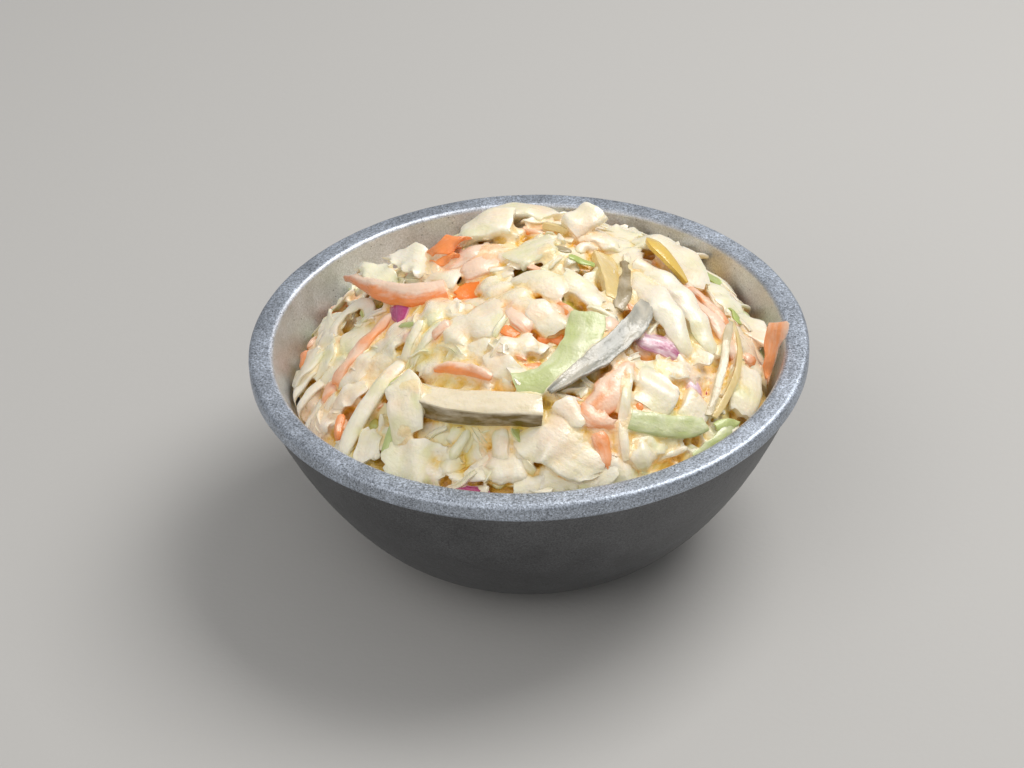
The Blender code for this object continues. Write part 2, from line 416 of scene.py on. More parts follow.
@dataclass
class Patch:
    """A mesh under construction: its points, its four-sided faces and what each point carries.

    tone says where the colour lies between flesh (0) and rind (1), bare how free of dressing the surface
    is, and cut is the place along and across the piece, for fibres.
    """

    points: np.ndarray
    faces: np.ndarray
    tone: np.ndarray
    bare: np.ndarray
    cut: np.ndarray
    lot: np.ndarray

    @staticmethod
    def joined(patches: list["Patch"]) -> "Patch":
        """Return several patches as one."""
        counts = [len(patch.points) for patch in patches]
        offsets = np.cumsum([0] + counts[:-1])
        faces = [patch.faces + offset for patch, offset in zip(patches, offsets)]
        stacked = {name: np.concatenate([getattr(patch, name) for patch in patches])
                   for name in ("points", "tone", "bare", "cut", "lot")}
        return Patch(faces=np.concatenate(faces), **stacked)

    def mesh(self, name: str, cavity: np.ndarray | None = None) -> bpy.types.Mesh:
        """Return the patch as a smooth mesh with its attributes and a UV map along and across the cut.

        Args:
            name: The mesh's name.
            cavity: How deep in a hollow each point lies, 0 to 1.

        Returns:
            The mesh, in metres.
        """
        mesh = plain_mesh(name, self.points, self.faces)
        values = {"tone": self.tone, "bare": self.bare}
        if cavity is not None:
            values["cavity"] = cavity
            facing = np.empty(len(self.points) * 3, np.float32)
            mesh.vertex_normals.foreach_get("vector", facing)
            values["bare"] = self.bare + 0.25 * (0.5 - facing.reshape(-1, 3)[:, 2])
        for label, value in values.items():
            mesh.attributes.new(label, "FLOAT", "POINT").data.foreach_set("value", value.astype(np.float32))
        uv = mesh.uv_layers.new(name="cut")
        uv.data.foreach_set("uv", (self.cut * MM)[self.faces.ravel()].astype(np.float32).ravel())
        mesh.set_sharp_from_angle(angle=math.radians(50))
        return mesh

    @staticmethod
    def read(mesh: bpy.types.Mesh) -> "Patch":
        """Return strewn pieces, a mesh of four-sided faces, as a patch."""
        count = len(mesh.vertices)
        points = np.empty(count * 3, np.float32)
        mesh.vertices.foreach_get("co", points)
        corners = np.empty(len(mesh.loops), np.int32)
        mesh.loops.foreach_get("vertex_index", corners)
        values = {}
        for label, kind in (("tone", np.float32), ("bare", np.float32), ("shift", np.float32), ("lot", np.int32)):
            values[label] = np.zeros(count, kind)
            mesh.attributes[label].data.foreach_get("value", values[label])
        uv = np.empty(len(mesh.loops) * 2, np.float32)
        mesh.attributes["cut"].data.foreach_get("vector", uv)
        cut = np.zeros((count, 2), np.float32)
        cut[corners] = uv.reshape(-1, 2)
        return Patch(points.reshape(-1, 3) / MM, corners.reshape(-1, 4), values["tone"] + values["shift"],
                     values["bare"], cut / MM, values["lot"])


def plain_mesh(name: str, points: np.ndarray, faces: np.ndarray) -> bpy.types.Mesh:
    """Return a smooth-shaded mesh of four-sided faces.

    Args:
        name: The mesh's name.
        points: Its points, in millimetres.
        faces: Four point numbers for each face.

    Returns:
        The mesh, in metres.
    """
    mesh = bpy.data.meshes.new(name)
    mesh.vertices.add(len(points))
    mesh.vertices.foreach_set("co", (points * MM).astype(np.float32).ravel())
    mesh.loops.add(faces.size)
    mesh.loops.foreach_set("vertex_index", faces.astype(np.int32).ravel())
    mesh.polygons.add(len(faces))
    mesh.polygons.foreach_set("loop_start", np.arange(0, faces.size, 4, dtype=np.int32))
    mesh.update(calc_edges=True)
    mesh.shade_smooth()
    return mesh


def linked(name: str, mesh: bpy.types.Mesh) -> bpy.types.Object:
    """Return a mesh as an object of the scene."""
    thing = bpy.data.objects.new(name, mesh)
    bpy.context.scene.collection.objects.link(thing)
    return thing


@dataclass(frozen=True)
class Cut:
    """One cut piece of vegetable, lying flat along +X, before it is laid on the heap.

    Lengths are in millimetres and angles in degrees. start and end are the shares of the width left at
    the two ends: near 1 for a square cut, near 0 for a point. edge is the share of the thickness left at
    the sides, and flank the share of that which stands upright. cup lowers both sides, fold raises them along a crease and curl raises the left one. frill is
    the waviness of the sides. trim adds to the tone towards the left side, wipe bares the right side, and
    rind names the side that carries skin.
    """

    kind: Kind
    length: float
    width: float
    thick: float
    bend: float = 20.0
    sweep: float = 0.0
    twist: float = 0.0
    cup: float = 0.1
    fold: float = 0.0
    curl: float = 0.0
    frill: float = 0.0
    start: float = 0.5
    end: float = 0.5
    ragged: float = 0.12
    ruffle: float = 0.3
    rib: float = 0.0
    edge: float = 0.75
    flank: float = 0.5
    tone: float = 0.3
    trim: float = 0.0
    rind: Side = Side.NONE
    bare: float = 0.0
    wipe: float = 0.0
    stray: float = 0.12
    fine: float = 1.0

    def patch(self, seed: int) -> Patch:
        """Return the piece as a closed patch, its unevenness drawn from a seed."""
        draw = np.random.default_rng(seed)
        share = np.linspace(0, 1, self.rings() + 1)
        left_over = np.where(share < 0.5, self.start, self.end)
        power = 1 + 8 * left_over
        outline = left_over + (1 - left_over) * (1 - np.abs(2 * share - 1) ** power) ** 0.62
        return self.shaped(draw, share, self.centre_line(share, draw), self.width * outline, np.ones_like(share))

    def rings(self) -> int:
        """Return how many steps the piece is made of along its length."""
        return max(6, round(self.length / 0.62 * self.fine))

    def shaped(self, draw: np.random.Generator, share: np.ndarray, line: tuple[np.ndarray, ...],
               widths: np.ndarray, swell: np.ndarray) -> Patch:
        """Return the piece built along a line.

        Args:
            draw: Source of its unevenness.
            share: Places along the piece, 0 to 1.
            line: Points on the line, and the sideways, upward and onward directions there.
            widths: Width at each place.
            swell: Thickness at each place, as a share of the piece's own.

        Returns:
            The closed piece.
        """
        path, side, normal, ahead = line
        across_steps = max(3, round(self.width / 1.15 * self.fine))
        across = np.sin(np.linspace(-1, 1, across_steps + 1) * QUARTER_TURN * 0.86)
        across /= across[-1]
        halves = [(widths / 2 * self.roughness(share, draw))[:, None] for _ in range(2)]
        reach = np.where(across[None, :] < 0, halves[0], halves[1]) * across[None, :]
        middle = self.waves(share, across, draw) - self.cup * across[None, :] ** 2
        middle += self.curl * np.clip(across[None, :], 0, 1) ** 3 + self.fold * np.abs(across[None, :])
        flutter = np.sin(share * self.length / draw.uniform(0.55, 0.8) + draw.uniform(0, FULL_TURN))
        wave = np.sin(share * self.length / draw.uniform(0.9, 1.3) + draw.uniform(0, FULL_TURN))
        middle += self.frill * np.where(across[None, :] < 0, flutter[:, None], wave[:, None]) * across[None, :] ** 2
        ends = self.edge + (1 - self.edge) * np.clip(share * (1 - share) * 14, 0, 1) ** 0.5
        section = self.edge + (1 - self.edge) * (1 - across ** 4)
        half = self.thick / 2 * (ends * swell)[:, None] * section[None, :]
        rib = self.rib * np.exp(-(across[None, :] / 0.22) ** 2)
        lip = np.minimum(0.22, half[:, :1] * 0.8)
        reaches = [reach, reach[:, -1:] + lip, reach[:, -1:] + lip, reach[:, ::-1], reach[:, :1] - lip,
                   reach[:, :1] - lip]
        flank = half[:, :1] * self.flank
        levels = [middle + half + rib, middle[:, -1:] + flank, middle[:, -1:] - flank,
                  (middle - half)[:, ::-1], middle[:, :1] - flank, middle[:, :1] + flank]
        reach = np.concatenate(reaches, axis=1)
        level = np.concatenate(levels, axis=1)
        skew = 0.5 * min(1.0, 6 * self.ragged)
        slant = np.interp(share, [0, 0.3, 0.7, 1], [draw.uniform(-skew, skew), 0, 0, draw.uniform(-skew, skew)])
        torn = draw.uniform(-1, 1, (2, across_steps + 1)) * self.ragged * self.width * 0.45
        torn = np.concatenate([torn, torn[:, -1:], torn[:, -1:], torn[:, ::-1], torn[:, :1], torn[:, :1]], axis=1)
        tear = (np.clip(1 - share * 6, 0, 1)[:, None] * torn[0] + np.clip(share * 6 - 5, 0, 1)[:, None] * torn[1])
        ring = (path[:, None, :] + side[:, None, :] * reach[:, :, None] + normal[:, None, :] * level[:, :, None]
                + ahead[:, None, :] * (slant[:, None] * reach + tear)[:, :, None])
        rows, columns = ring.shape[:2]
        flat_cut = np.stack([np.broadcast_to((share * self.length)[:, None], (rows, columns)),
                             reach + 2 * level], -1).reshape(-1, 2)
        wiped = np.concatenate([-across, [-1.0, -1.0], across, [1.0, 1.0]])
        return Patch(ring.reshape(-1, 3), self.skin_faces(rows, columns, across_steps), self.tones(rows, across),
                     np.tile(self.bare + self.wipe * wiped, rows), flat_cut, np.zeros(rows * columns, int))

    @staticmethod
    def skin_faces(rows: int, columns: int, across_steps: int) -> np.ndarray:
        """Return the four-sided faces of the closed piece, its rings joined and its two ends capped.

        Args:
            rows: Number of rings.
            columns: Points in a ring: upper face, left side, lower face, right side.
            across_steps: Cells across the upper face.

        Returns:
            The faces.
        """
        index = np.arange(rows * columns).reshape(rows, columns)
        following = np.roll(index, -1, axis=1)
        tube = np.stack([index[:-1], index[1:], following[1:], following[:-1]], -1).reshape(-1, 4)
        upper = np.arange(across_steps)
        lower = 2 * across_steps + 3 - upper
        cap = np.stack([upper, upper + 1, lower - 1, lower], -1)
        left = across_steps + np.arange(4)
        right = np.array([2 * across_steps + 3, 2 * across_steps + 4, 2 * across_steps + 5, 0])
        cap = np.concatenate([cap, left[None, :], right[None, :]])
        return np.concatenate([tube, index[0][cap], index[-1][cap[:, ::-1]]])

    def tones(self, rows: int, across: np.ndarray) -> np.ndarray:
        """Return the tone of every point, ring by ring."""
        upper = self.tone + self.trim * np.clip(across * 1.6 - 0.4, 0, 1)
        left = np.full(2, upper[-1])
        lower = upper[::-1].copy()
        right = np.full(2, upper[0])
        if self.rind is Side.LEFT:
            left[:] = 1.0
        elif self.rind is Side.RIGHT:
            right[:] = 1.0
        elif self.rind is Side.UNDER:
            lower[:] = 1.0
        elif self.rind is Side.OVER:
            upper[:] = 1.0
        ring = np.concatenate([upper, left, lower, right])
        return np.tile(ring, rows)

    def centre_line(self, share: np.ndarray, draw: np.random.Generator) -> tuple[np.ndarray, ...]:
        """Work out the line the piece follows.

        Args:
            share: Places along the piece, 0 to 1.
            draw: Source of the random wander.

        Returns:
            Points on the line, and the sideways, upward and onward directions there.
        """
        wander = self.stray * np.sin(share * draw.uniform(4, 9) + draw.uniform(0, FULL_TURN))
        yaw = math.radians(self.sweep) * (share - 0.5) + wander
        dip = -math.radians(self.bend) * (share - 0.5) + 0.7 * wander[::-1]
        roll = math.radians(self.twist) * (share - 0.5)
        ahead = np.stack([np.cos(dip) * np.cos(yaw), np.cos(dip) * np.sin(yaw), np.sin(dip)], -1)
        side = np.stack([-np.sin(yaw), np.cos(yaw), np.zeros_like(yaw)], -1)
        up = np.cross(ahead, side)
        rolled_side = side * np.cos(roll)[:, None] + up * np.sin(roll)[:, None]
        rolled_up = up * np.cos(roll)[:, None] - side * np.sin(roll)[:, None]
        step = self.length / (len(share) - 1)
        path = np.concatenate([np.zeros((1, 3)), np.cumsum((ahead[1:] + ahead[:-1]) / 2 * step, axis=0)])
        return path - path.mean(axis=0), rolled_side, rolled_up, ahead

    def roughness(self, share: np.ndarray, draw: np.random.Generator) -> np.ndarray:
        """Return how much wider or narrower one side is at each place, as a factor."""
        rough = np.zeros_like(share)
        for pitch, weight in ((4.5, 1.0), (2.2, 0.6), (1.1, 0.4)):
            count = max(3, round(self.length / pitch) + 1)
            rough += weight * np.interp(share, np.linspace(0, 1, count), draw.uniform(-1, 1, count))
        notches = np.clip(np.abs(rough) - 0.9, 0, 1) * 1.2
        return np.clip(1 + self.ragged * (rough - notches), 0.12, 1.6)

    def waves(self, share: np.ndarray, across: np.ndarray, draw: np.random.Generator) -> np.ndarray:
        """Return the soft unevenness of the piece's face, one height for each place."""
        total = np.zeros((len(share), len(across)))
        for _ in range(4):
            along_turns, across_turns = draw.uniform(0.4, 1.6) * self.length / 9, draw.uniform(-1.6, 1.6)
            phase = draw.uniform(0, FULL_TURN)
            total += np.sin(along_turns * FULL_TURN * share[:, None] + across_turns * across[None, :] + phase)
        return total * self.ruffle / 4


def leaf(length: float, width: float, **more: object) -> Cut:
    """Return a thin piece of cabbage leaf."""
    return replace(Cut(Kind.WHITE_CABBAGE, length, width, 0.6, start=0.6, end=0.45, ragged=0.22, ruffle=0.6,
                       frill=0.35, tone=0.25), **more)


def chunk(length: float, width: float, **more: object) -> Cut:
    """Return a thick, square-cut piece of cabbage rib."""
    return replace(Cut(Kind.WHITE_CABBAGE, length, width, 1.6, bend=12, start=0.9, end=0.85, ragged=0.1,
                       ruffle=0.3, frill=0.1, tone=0.1), **more)


def strip(length: float, width: float, **more: object) -> Cut:
    """Return a strip of cabbage."""
    return replace(Cut(Kind.WHITE_CABBAGE, length, width, 1.1, start=0.8, end=0.6, frill=0.1, tone=0.15), **more)


def green(length: float, width: float, **more: object) -> Cut:
    """Return a thin piece of green outer leaf."""
    return replace(Cut(Kind.GREEN_CABBAGE, length, width, 0.55, start=0.7, end=0.7, ragged=0.12, frill=0.2,
                       tone=0.3, bare=0.4), **more)


def carrot(length: float, width: float, **more: object) -> Cut:
    """Return a rough shred of carrot."""
    return replace(Cut(Kind.CARROT, length, width, 1.7, start=0.35, end=0.3, ragged=0.22, ruffle=0.4, frill=0.15,
                       edge=0.55, tone=0.5), **more)


def gherkin(length: float, width: float, thick: float, **more: object) -> Cut:
    """Return a slab of gherkin."""
    return replace(Cut(Kind.GHERKIN, length, width, thick, bend=8, cup=0.0, start=0.85, end=0.85, ragged=0.04,
                       ruffle=0.1, edge=0.9, flank=0.8, tone=0.1, bare=0.4, stray=0.04), **more)


def onion(length: float, width: float, **more: object) -> Cut:
    """Return a piece of red onion, its skin side up."""
    return replace(Cut(Kind.RED_ONION, length, width, 1.1, cup=0.8, start=0.3, end=0.3, ragged=0.1, ruffle=0.15,
                       edge=0.6, tone=0.1, rind=Side.OVER, bare=0.3), **more)


@dataclass
class CastBowl:
    """The turned and cast bowl, with its thick proud rim."""

    rim_radius: float
    height: float
    foot_radius: float = 22.0
    floor_thickness: float = 3.2
    inner_foot_radius: float = 20.5
    rim_width: float = 5.4
    rim_rounding: float = 1.2
    band_height: float = 4.2
    band_proud: float = 1.5
    belly: float = 1.74
    turn_steps: int = 360
    wall_steps: int = 44
    rounding_steps: int = 8

    def wall_point(self, share: object, foot: float, top_radius: float, low: float, high: float) -> tuple:
        """Return radius and height on a bellied wall, from its foot (share 0) to its top (share 1)."""
        angle = np.asarray(share) * QUARTER_TURN
        rise = 1 - np.clip(np.cos(angle), 0, 1) ** self.belly
        return foot + (top_radius - foot) * np.sin(angle), low + (high - low) * rise

    def inner_radius(self, height: np.ndarray) -> np.ndarray:
        """Return the inner wall's radius at each height, level above the rim."""
        share = np.linspace(0, 1, 200)
        radius, level = self.wall_point(share, self.inner_foot_radius, self.rim_radius - self.rim_width,
                                        self.floor_thickness, self.height - self.rim_rounding)
        return np.interp(height, level, radius)

    def profile(self) -> list[tuple[float, float]]:
        """Return the closed half section, up the inside, over the rim and down the outside."""
        inner_round = self.rim_radius - self.rim_width + self.rim_rounding
        outer_round = self.rim_radius - self.rim_rounding
        shoulder = self.height - self.rim_rounding
        under = self.height - self.band_height
        points = [(radius, self.floor_thickness) for radius in np.linspace(0, self.inner_foot_radius, 16)[:-1]]
        inner = self.wall_point(np.linspace(0, 1, self.wall_steps)[:-1], self.inner_foot_radius,
                                self.rim_radius - self.rim_width, self.floor_thickness, shoulder)
        points += list(zip(*inner))
        points += self.rounding(inner_round, shoulder, math.pi, QUARTER_TURN)
        points += self.rounding(outer_round, shoulder, QUARTER_TURN, 0.0)
        points += self.rounding(outer_round, under + self.rim_rounding, 0.0, -QUARTER_TURN)
        outer = self.wall_point(np.linspace(1, 0, self.wall_steps), self.foot_radius,
                                self.rim_radius - self.band_proud, 0.0, under)
        points += list(zip(*outer))
        points += [(radius, 0.0) for radius in np.linspace(self.foot_radius, 0, 16)[1:]]
        return points

    def rounding(self, radius: float, height: float, start: float, end: float) -> list[tuple[float, float]]:
        """Return the points of one rim rounding, between two angles."""
        angles = np.linspace(start, end, self.rounding_steps + 1)
        return [(radius + self.rim_rounding * math.cos(a), height + self.rim_rounding * math.sin(a)) for a in angles]

    def build(self, metal: bpy.types.Material) -> bpy.types.Object:
        """Turn the profile, work the cast unevenness into it and return the bowl."""
        profile = self.profile()
        mesh = bpy.data.meshes.new("bowl_profile")
        edges = [(index, index + 1) for index in range(len(profile) - 1)]
        mesh.from_pydata([(radius * MM, 0.0, height * MM) for radius, height in profile], edges, [])
        blank = bpy.data.objects.new("bowl_profile", mesh)
        bpy.context.scene.collection.objects.link(blank)
        screw = blank.modifiers.new("Turn", "SCREW")
        screw.angle = FULL_TURN
        screw.steps = self.turn_steps
        screw.render_steps = self.turn_steps
        screw.use_merge_vertices = True
        screw.merge_threshold = 0.00001
        screw.use_smooth_shade = True
        skin = blank.modifiers.new("Cast skin", "NODES")
        skin.node_group = self.cast_skin()
        set_inputs(skin, {"Wobble": 0.00030, "Wobble Size": 0.016, "Ripple": 0.00012, "Ripple Size": 0.0035,
                          "Metal": metal})
        bowl = baked(blank, "cast_bowl")
        self.mark_zones(bowl.data)
        return bowl

    def mark_zones(self, mesh: bpy.types.Mesh) -> None:
        """Store which points are inside and which are on the rim, 0 to 1.

        Args:
            mesh: The bowl's mesh.
        """
        points = np.empty(len(mesh.vertices) * 3, np.float32)
        mesh.vertices.foreach_get("co", points)
        points = points.reshape(-1, 3) / MM
        radius, height = np.hypot(points[:, 0], points[:, 1]), points[:, 2]
        # These zones also place the painted light inside and on the rim, and the painted shade outside.
        inside = np.clip(self.inner_radius(height) + 2.0 - radius, 0, 1)
        inner_edge = self.rim_radius - self.rim_width
        top = np.clip((height - self.height + self.rim_rounding) / 0.5, 0, 1) * np.clip(radius - inner_edge, 0, 1)
        band = np.clip((height - self.height + self.band_height) / 0.8, 0, 1) * (radius > inner_edge + 2.0)
        for label, values in (("inside", inside), ("rim", np.maximum(top, band))):
            mesh.attributes.new(label, "FLOAT", "POINT").data.foreach_set("value", values.astype(np.float32))

    @staticmethod
    def cast_skin() -> bpy.types.NodeTree:
        """Return the Geometry Nodes tree that pushes the turned surface in and out, as sand casting does."""
        tree = bpy.data.node_groups.new("cast_skin", "GeometryNodeTree")
        bench = NodeBench(tree)
        declare(tree, (("Geometry", "Geometry"), ("Wobble", "Float"), ("Wobble Size", "Float"),
                       ("Ripple", "Float"), ("Ripple Size", "Float"), ("Metal", "Material")))
        given = bench.add("NodeGroupInput").outputs
        place = bench.add("GeometryNodeInputPosition").outputs[0]
        normal = bench.add("GeometryNodeInputNormal").outputs[0]
        shift = None
        for label in ("Wobble", "Ripple"):
            pitch = bench.math("DIVIDE", 1.0, given[label + " Size"])
            wave = bench.add("ShaderNodeTexNoise", {"Vector": place, "Scale": pitch, "Detail": 2.0}).outputs[0]
            push = bench.math("MULTIPLY", bench.math("SUBTRACT", wave, 0.5), given[label])
            shift = push if shift is None else bench.math("ADD", shift, push)
        height = bench.add("ShaderNodeSeparateXYZ", {0: place}).outputs["Z"]
        lifted = bench.add("ShaderNodeMapRange", {"Value": height, "From Min": 0.0, "From Max": 0.006}).outputs[0]
        offset = bench.scaled(normal, bench.math("MULTIPLY", shift, lifted))
        moved = bench.add("GeometryNodeSetPosition", {"Geometry": given["Geometry"], "Offset": offset}).outputs[0]
        real = bench.add("GeometryNodeRealizeInstances", {0: moved}).outputs[0]
        finished = bench.add("GeometryNodeSetMaterial", {"Geometry": real, "Material": given["Metal"]}).outputs[0]
        bench.add("NodeGroupOutput", {0: finished})
        return tree


def declare(tree: bpy.types.NodeTree, sockets: tuple[tuple[str, str], ...]) -> None:
    """Give a Geometry Nodes tree its named inputs and its one geometry output.

    Args:
        tree: The tree.
        sockets: Name and type of each input, the geometry first.
    """
    for name, kind in sockets:
        tree.interface.new_socket(name, in_out="INPUT", socket_type="NodeSocket" + kind)
    tree.interface.new_socket("Geometry", in_out="OUTPUT", socket_type="NodeSocketGeometry")


def set_inputs(modifier: bpy.types.NodesModifier, values: dict[str, object]) -> None:
    """Set a Geometry Nodes modifier's inputs, found by name and set by identifier."""
    for item in modifier.node_group.interface.items_tree:
        if item.in_out == "INPUT" and item.name in values:
            modifier[item.identifier] = values[item.name]


def baked(blank: bpy.types.Object, name: str) -> bpy.types.Object:
    """Turn an object with modifiers into a plain mesh object at the origin.

    Args:
        blank: The object; it is removed.
        name: The new object's name.

    Returns:
        The plain object.
    """
    bpy.context.view_layer.update()
    mesh = bpy.data.meshes.new_from_object(blank.evaluated_get(bpy.context.evaluated_depsgraph_get()))
    mesh.name = name
    bpy.data.objects.remove(blank)
    plain = bpy.data.objects.new(name, mesh)
    bpy.context.scene.collection.objects.link(plain)
    return plain


@dataclass(frozen=True)
class Dip:
    """A soft hollow in the heap: its place, its size and how deep it is, in millimetres."""

    x: float
    y: float
    radius: float
    depth: float


DIPS = (
    Dip(-20, 26, 8, 3.4),
    Dip(-21, 39, 10, 5.0),
    Dip(24, 34, 11, 3.0),
    Dip(42, 20, 9, 2.4),
    Dip(-38, 8, 2.4, 3.0),
    Dip(-12, -2, 3.5, 1.6),
    Dip(-38, 20, 7, 1.5),
    Dip(0, 42, 16, 3.0),
    Dip(50, 6, 5, 3.0),
    Dip(52, -8, 4, 2.5),
    Dip(-52, 2, 5, 2.0),
    Dip(26, -42, 4, 1.5),
    Dip(-32, -29, 2.2, 2.4),
    Dip(-19, -42, 2.0, 2.4),
    Dip(-10, -42, 2.6, 2.8),
    Dip(-14, -44, 1.8, 2.6),
    Dip(0, -48, 1.8, 3.0),
    Dip(-25, -20, 2.4, 2.2),
    Dip(-48, -17, 2.6, 2.4),
)


class HeapSkin:
    """The height of the heap's skin above any place, read from the frame, in millimetres."""

    def __init__(self, node: bpy.types.Object, spacing: float = 1.5, reach: float = 49.5, passes: int = 3) -> None:
        """Sample the skin on a square grid.

        Args:
            node: The frame's coleslaw node.
            spacing: The grid's pitch.
            reach: Radius within which the skin is read; past it the skin falls off evenly.
            passes: How often the grid is smoothed.
        """
        self.spacing = spacing
        self.reach = reach
        mesh = node.data
        tree = BVHTree.FromPolygons([v.co.copy() for v in mesh.vertices], [tuple(p.vertices) for p in mesh.polygons])
        half = math.ceil((reach + 2 * spacing) / spacing)
        self.origin = -half * spacing
        count = 2 * half + 1
        grid = np.zeros((count, count))
        for i in range(count):
            for j in range(count):
                x, y = self.origin + i * spacing, self.origin + j * spacing
                shrink = min(1.0, (reach + 1) / max(math.hypot(x, y), 1e-6))
                hit = tree.ray_cast(Vector((x * shrink * MM, y * shrink * MM, 0.2)), Vector((0, 0, -1)))[0]
                grid[i, j] = hit.z / MM
        for _ in range(passes):
            padded = np.pad(grid, 1, mode="edge")
            grid = sum(padded[1 + a:1 + a + count, 1 + b:1 + b + count] for a in (-1, 0, 1) for b in (-1, 0, 1)) / 9
        self.grid = grid

    def height(self, x: np.ndarray, y: np.ndarray, fall: float = 1.2) -> np.ndarray:
        """Return the skin's height at each place.

        Args:
            x: Places across.
            y: Places away from the front.
            fall: How steeply the skin drops past its reach.

        Returns:
            The heights.
        """
        radius = np.hypot(x, y)
        shrink = np.minimum(1.0, self.reach / np.maximum(radius, 1e-6))
        u = (x * shrink - self.origin) / self.spacing
        v = (y * shrink - self.origin) / self.spacing
        i = np.clip(u.astype(int), 0, self.grid.shape[0] - 2)
        j = np.clip(v.astype(int), 0, self.grid.shape[1] - 2)
        a, b = u - i, v - j
        level = ((self.grid[i, j] * (1 - a) + self.grid[i + 1, j] * a) * (1 - b)
                 + (self.grid[i, j + 1] * (1 - a) + self.grid[i + 1, j + 1] * a) * b)
        for dip in DIPS:
            level = level - dip.depth * np.exp(-((x - dip.x) ** 2 + (y - dip.y) ** 2) / dip.radius ** 2)
        return level - fall * np.maximum(radius - self.reach, 0)

    def facing(self, x: float, y: float) -> Vector:
        """Return the direction square to the skin at a place."""
        step = 3.0
        east = self.height(np.array([x - step, x + step]), np.array([y, y]))
        north = self.height(np.array([x, x]), np.array([y - step, y + step]))
        return Vector((float(east[0] - east[1]), float(north[0] - north[1]), 2 * step)).normalized()


@dataclass(frozen=True)
class Laid:
    """A cut piece and how it lies on the heap.

    x and y are its middle's place, heading its direction seen from above (0 to the right, 90 to the back),
    lift its height over the skin, pitch how far its leading end rises, roll how far its left side rises
    and hug how closely it follows the heap's curve.
    """

    cut: Cut
    x: float
    y: float
    heading: float
    lift: float = 0.6
    pitch: float = 0.0
    roll: float = 0.0
    hug: float = 0.7

    def patch(self, skin: HeapSkin, seed: int) -> Patch:
        """Return the piece in its place on the heap."""
        piece = self.cut.patch(seed)
        turn = Euler((math.radians(self.roll), -math.radians(self.pitch), 0)).to_matrix()
        up = skin.facing(self.x, self.y)
        ahead = Vector((math.cos(math.radians(self.heading)), math.sin(math.radians(self.heading)), 0.0))
        ahead = (ahead - up * ahead.dot(up)).normalized()
        basis = Matrix((ahead, up.cross(ahead), up)).transposed() @ turn
        base = float(skin.height(np.array([self.x]), np.array([self.y]))[0])
        points = piece.points @ np.array(basis).T
        flat = base - (points[:, 0] * up.x + points[:, 1] * up.y) / up.z
        points = points + np.array([self.x, self.y, base])
        drop = (skin.height(points[:, 0], points[:, 1]) - flat) * self.hug * up.z + self.lift * 0.65 - 0.3
        piece.points = points + drop[:, None] * np.array(up)[None, :]
        return piece


@dataclass(frozen=True)
class Draped:
    """A cut piece that follows a line over the heap.

    Each mark of the line holds a place x and y, the lift over the skin there and the piece's width, and may
    add its roll in degrees and its thickness as a share of the cut's own.
    """

    cut: Cut
    marks: tuple[tuple[float, ...], ...]

    def patch(self, skin: HeapSkin, seed: int) -> Patch:
        """Return the piece in its place on the heap."""
        plain = (0.0, 1.0)
        marks = np.array([mark + plain[len(mark) - 4:] for mark in self.marks])
        gaps = np.hypot(*np.diff(marks[:, :2], axis=0).T)
        cut = replace(self.cut, length=float(gaps.sum()), width=float(marks[:, 3].max()))
        given = np.concatenate([[0.0], np.cumsum(gaps)]) / gaps.sum()
        share = np.linspace(0, 1, cut.rings() + 1)
        marks[:, 2] += skin.height(marks[:, 0], marks[:, 1])
        fit = np.polynomial.polynomial.polyfit(given, marks, min(len(marks) - 1, 3))
        x, y, z, widths, roll, swell = np.polynomial.polynomial.polyval(share, fit)
        path = np.stack([x, y, z], -1)
        ahead = np.gradient(path, axis=0)
        ahead /= np.linalg.norm(ahead, axis=1)[:, None]
        facing = np.array([skin.facing(*mark[:2]) for mark in self.marks])
        up = np.stack([np.interp(share, given, facing[:, axis]) for axis in range(3)], -1)
        side = np.cross(up, ahead)
        side /= np.linalg.norm(side, axis=1)[:, None]
        up = np.cross(ahead, side)
        turn = np.radians(roll)[:, None]
        line = (path, side * np.cos(turn) + up * np.sin(turn), up * np.cos(turn) - side * np.sin(turn), ahead)
        draw = np.random.default_rng(seed)
        return cut.shaped(draw, share, line, np.clip(widths, 0.3, None), np.clip(swell, 0.15, None))


def draped(cut: Cut, *marks: tuple[float, ...]) -> Draped:
    """Return a cut draped over the heap along a line of marks; see Draped."""
    return Draped(cut, marks)


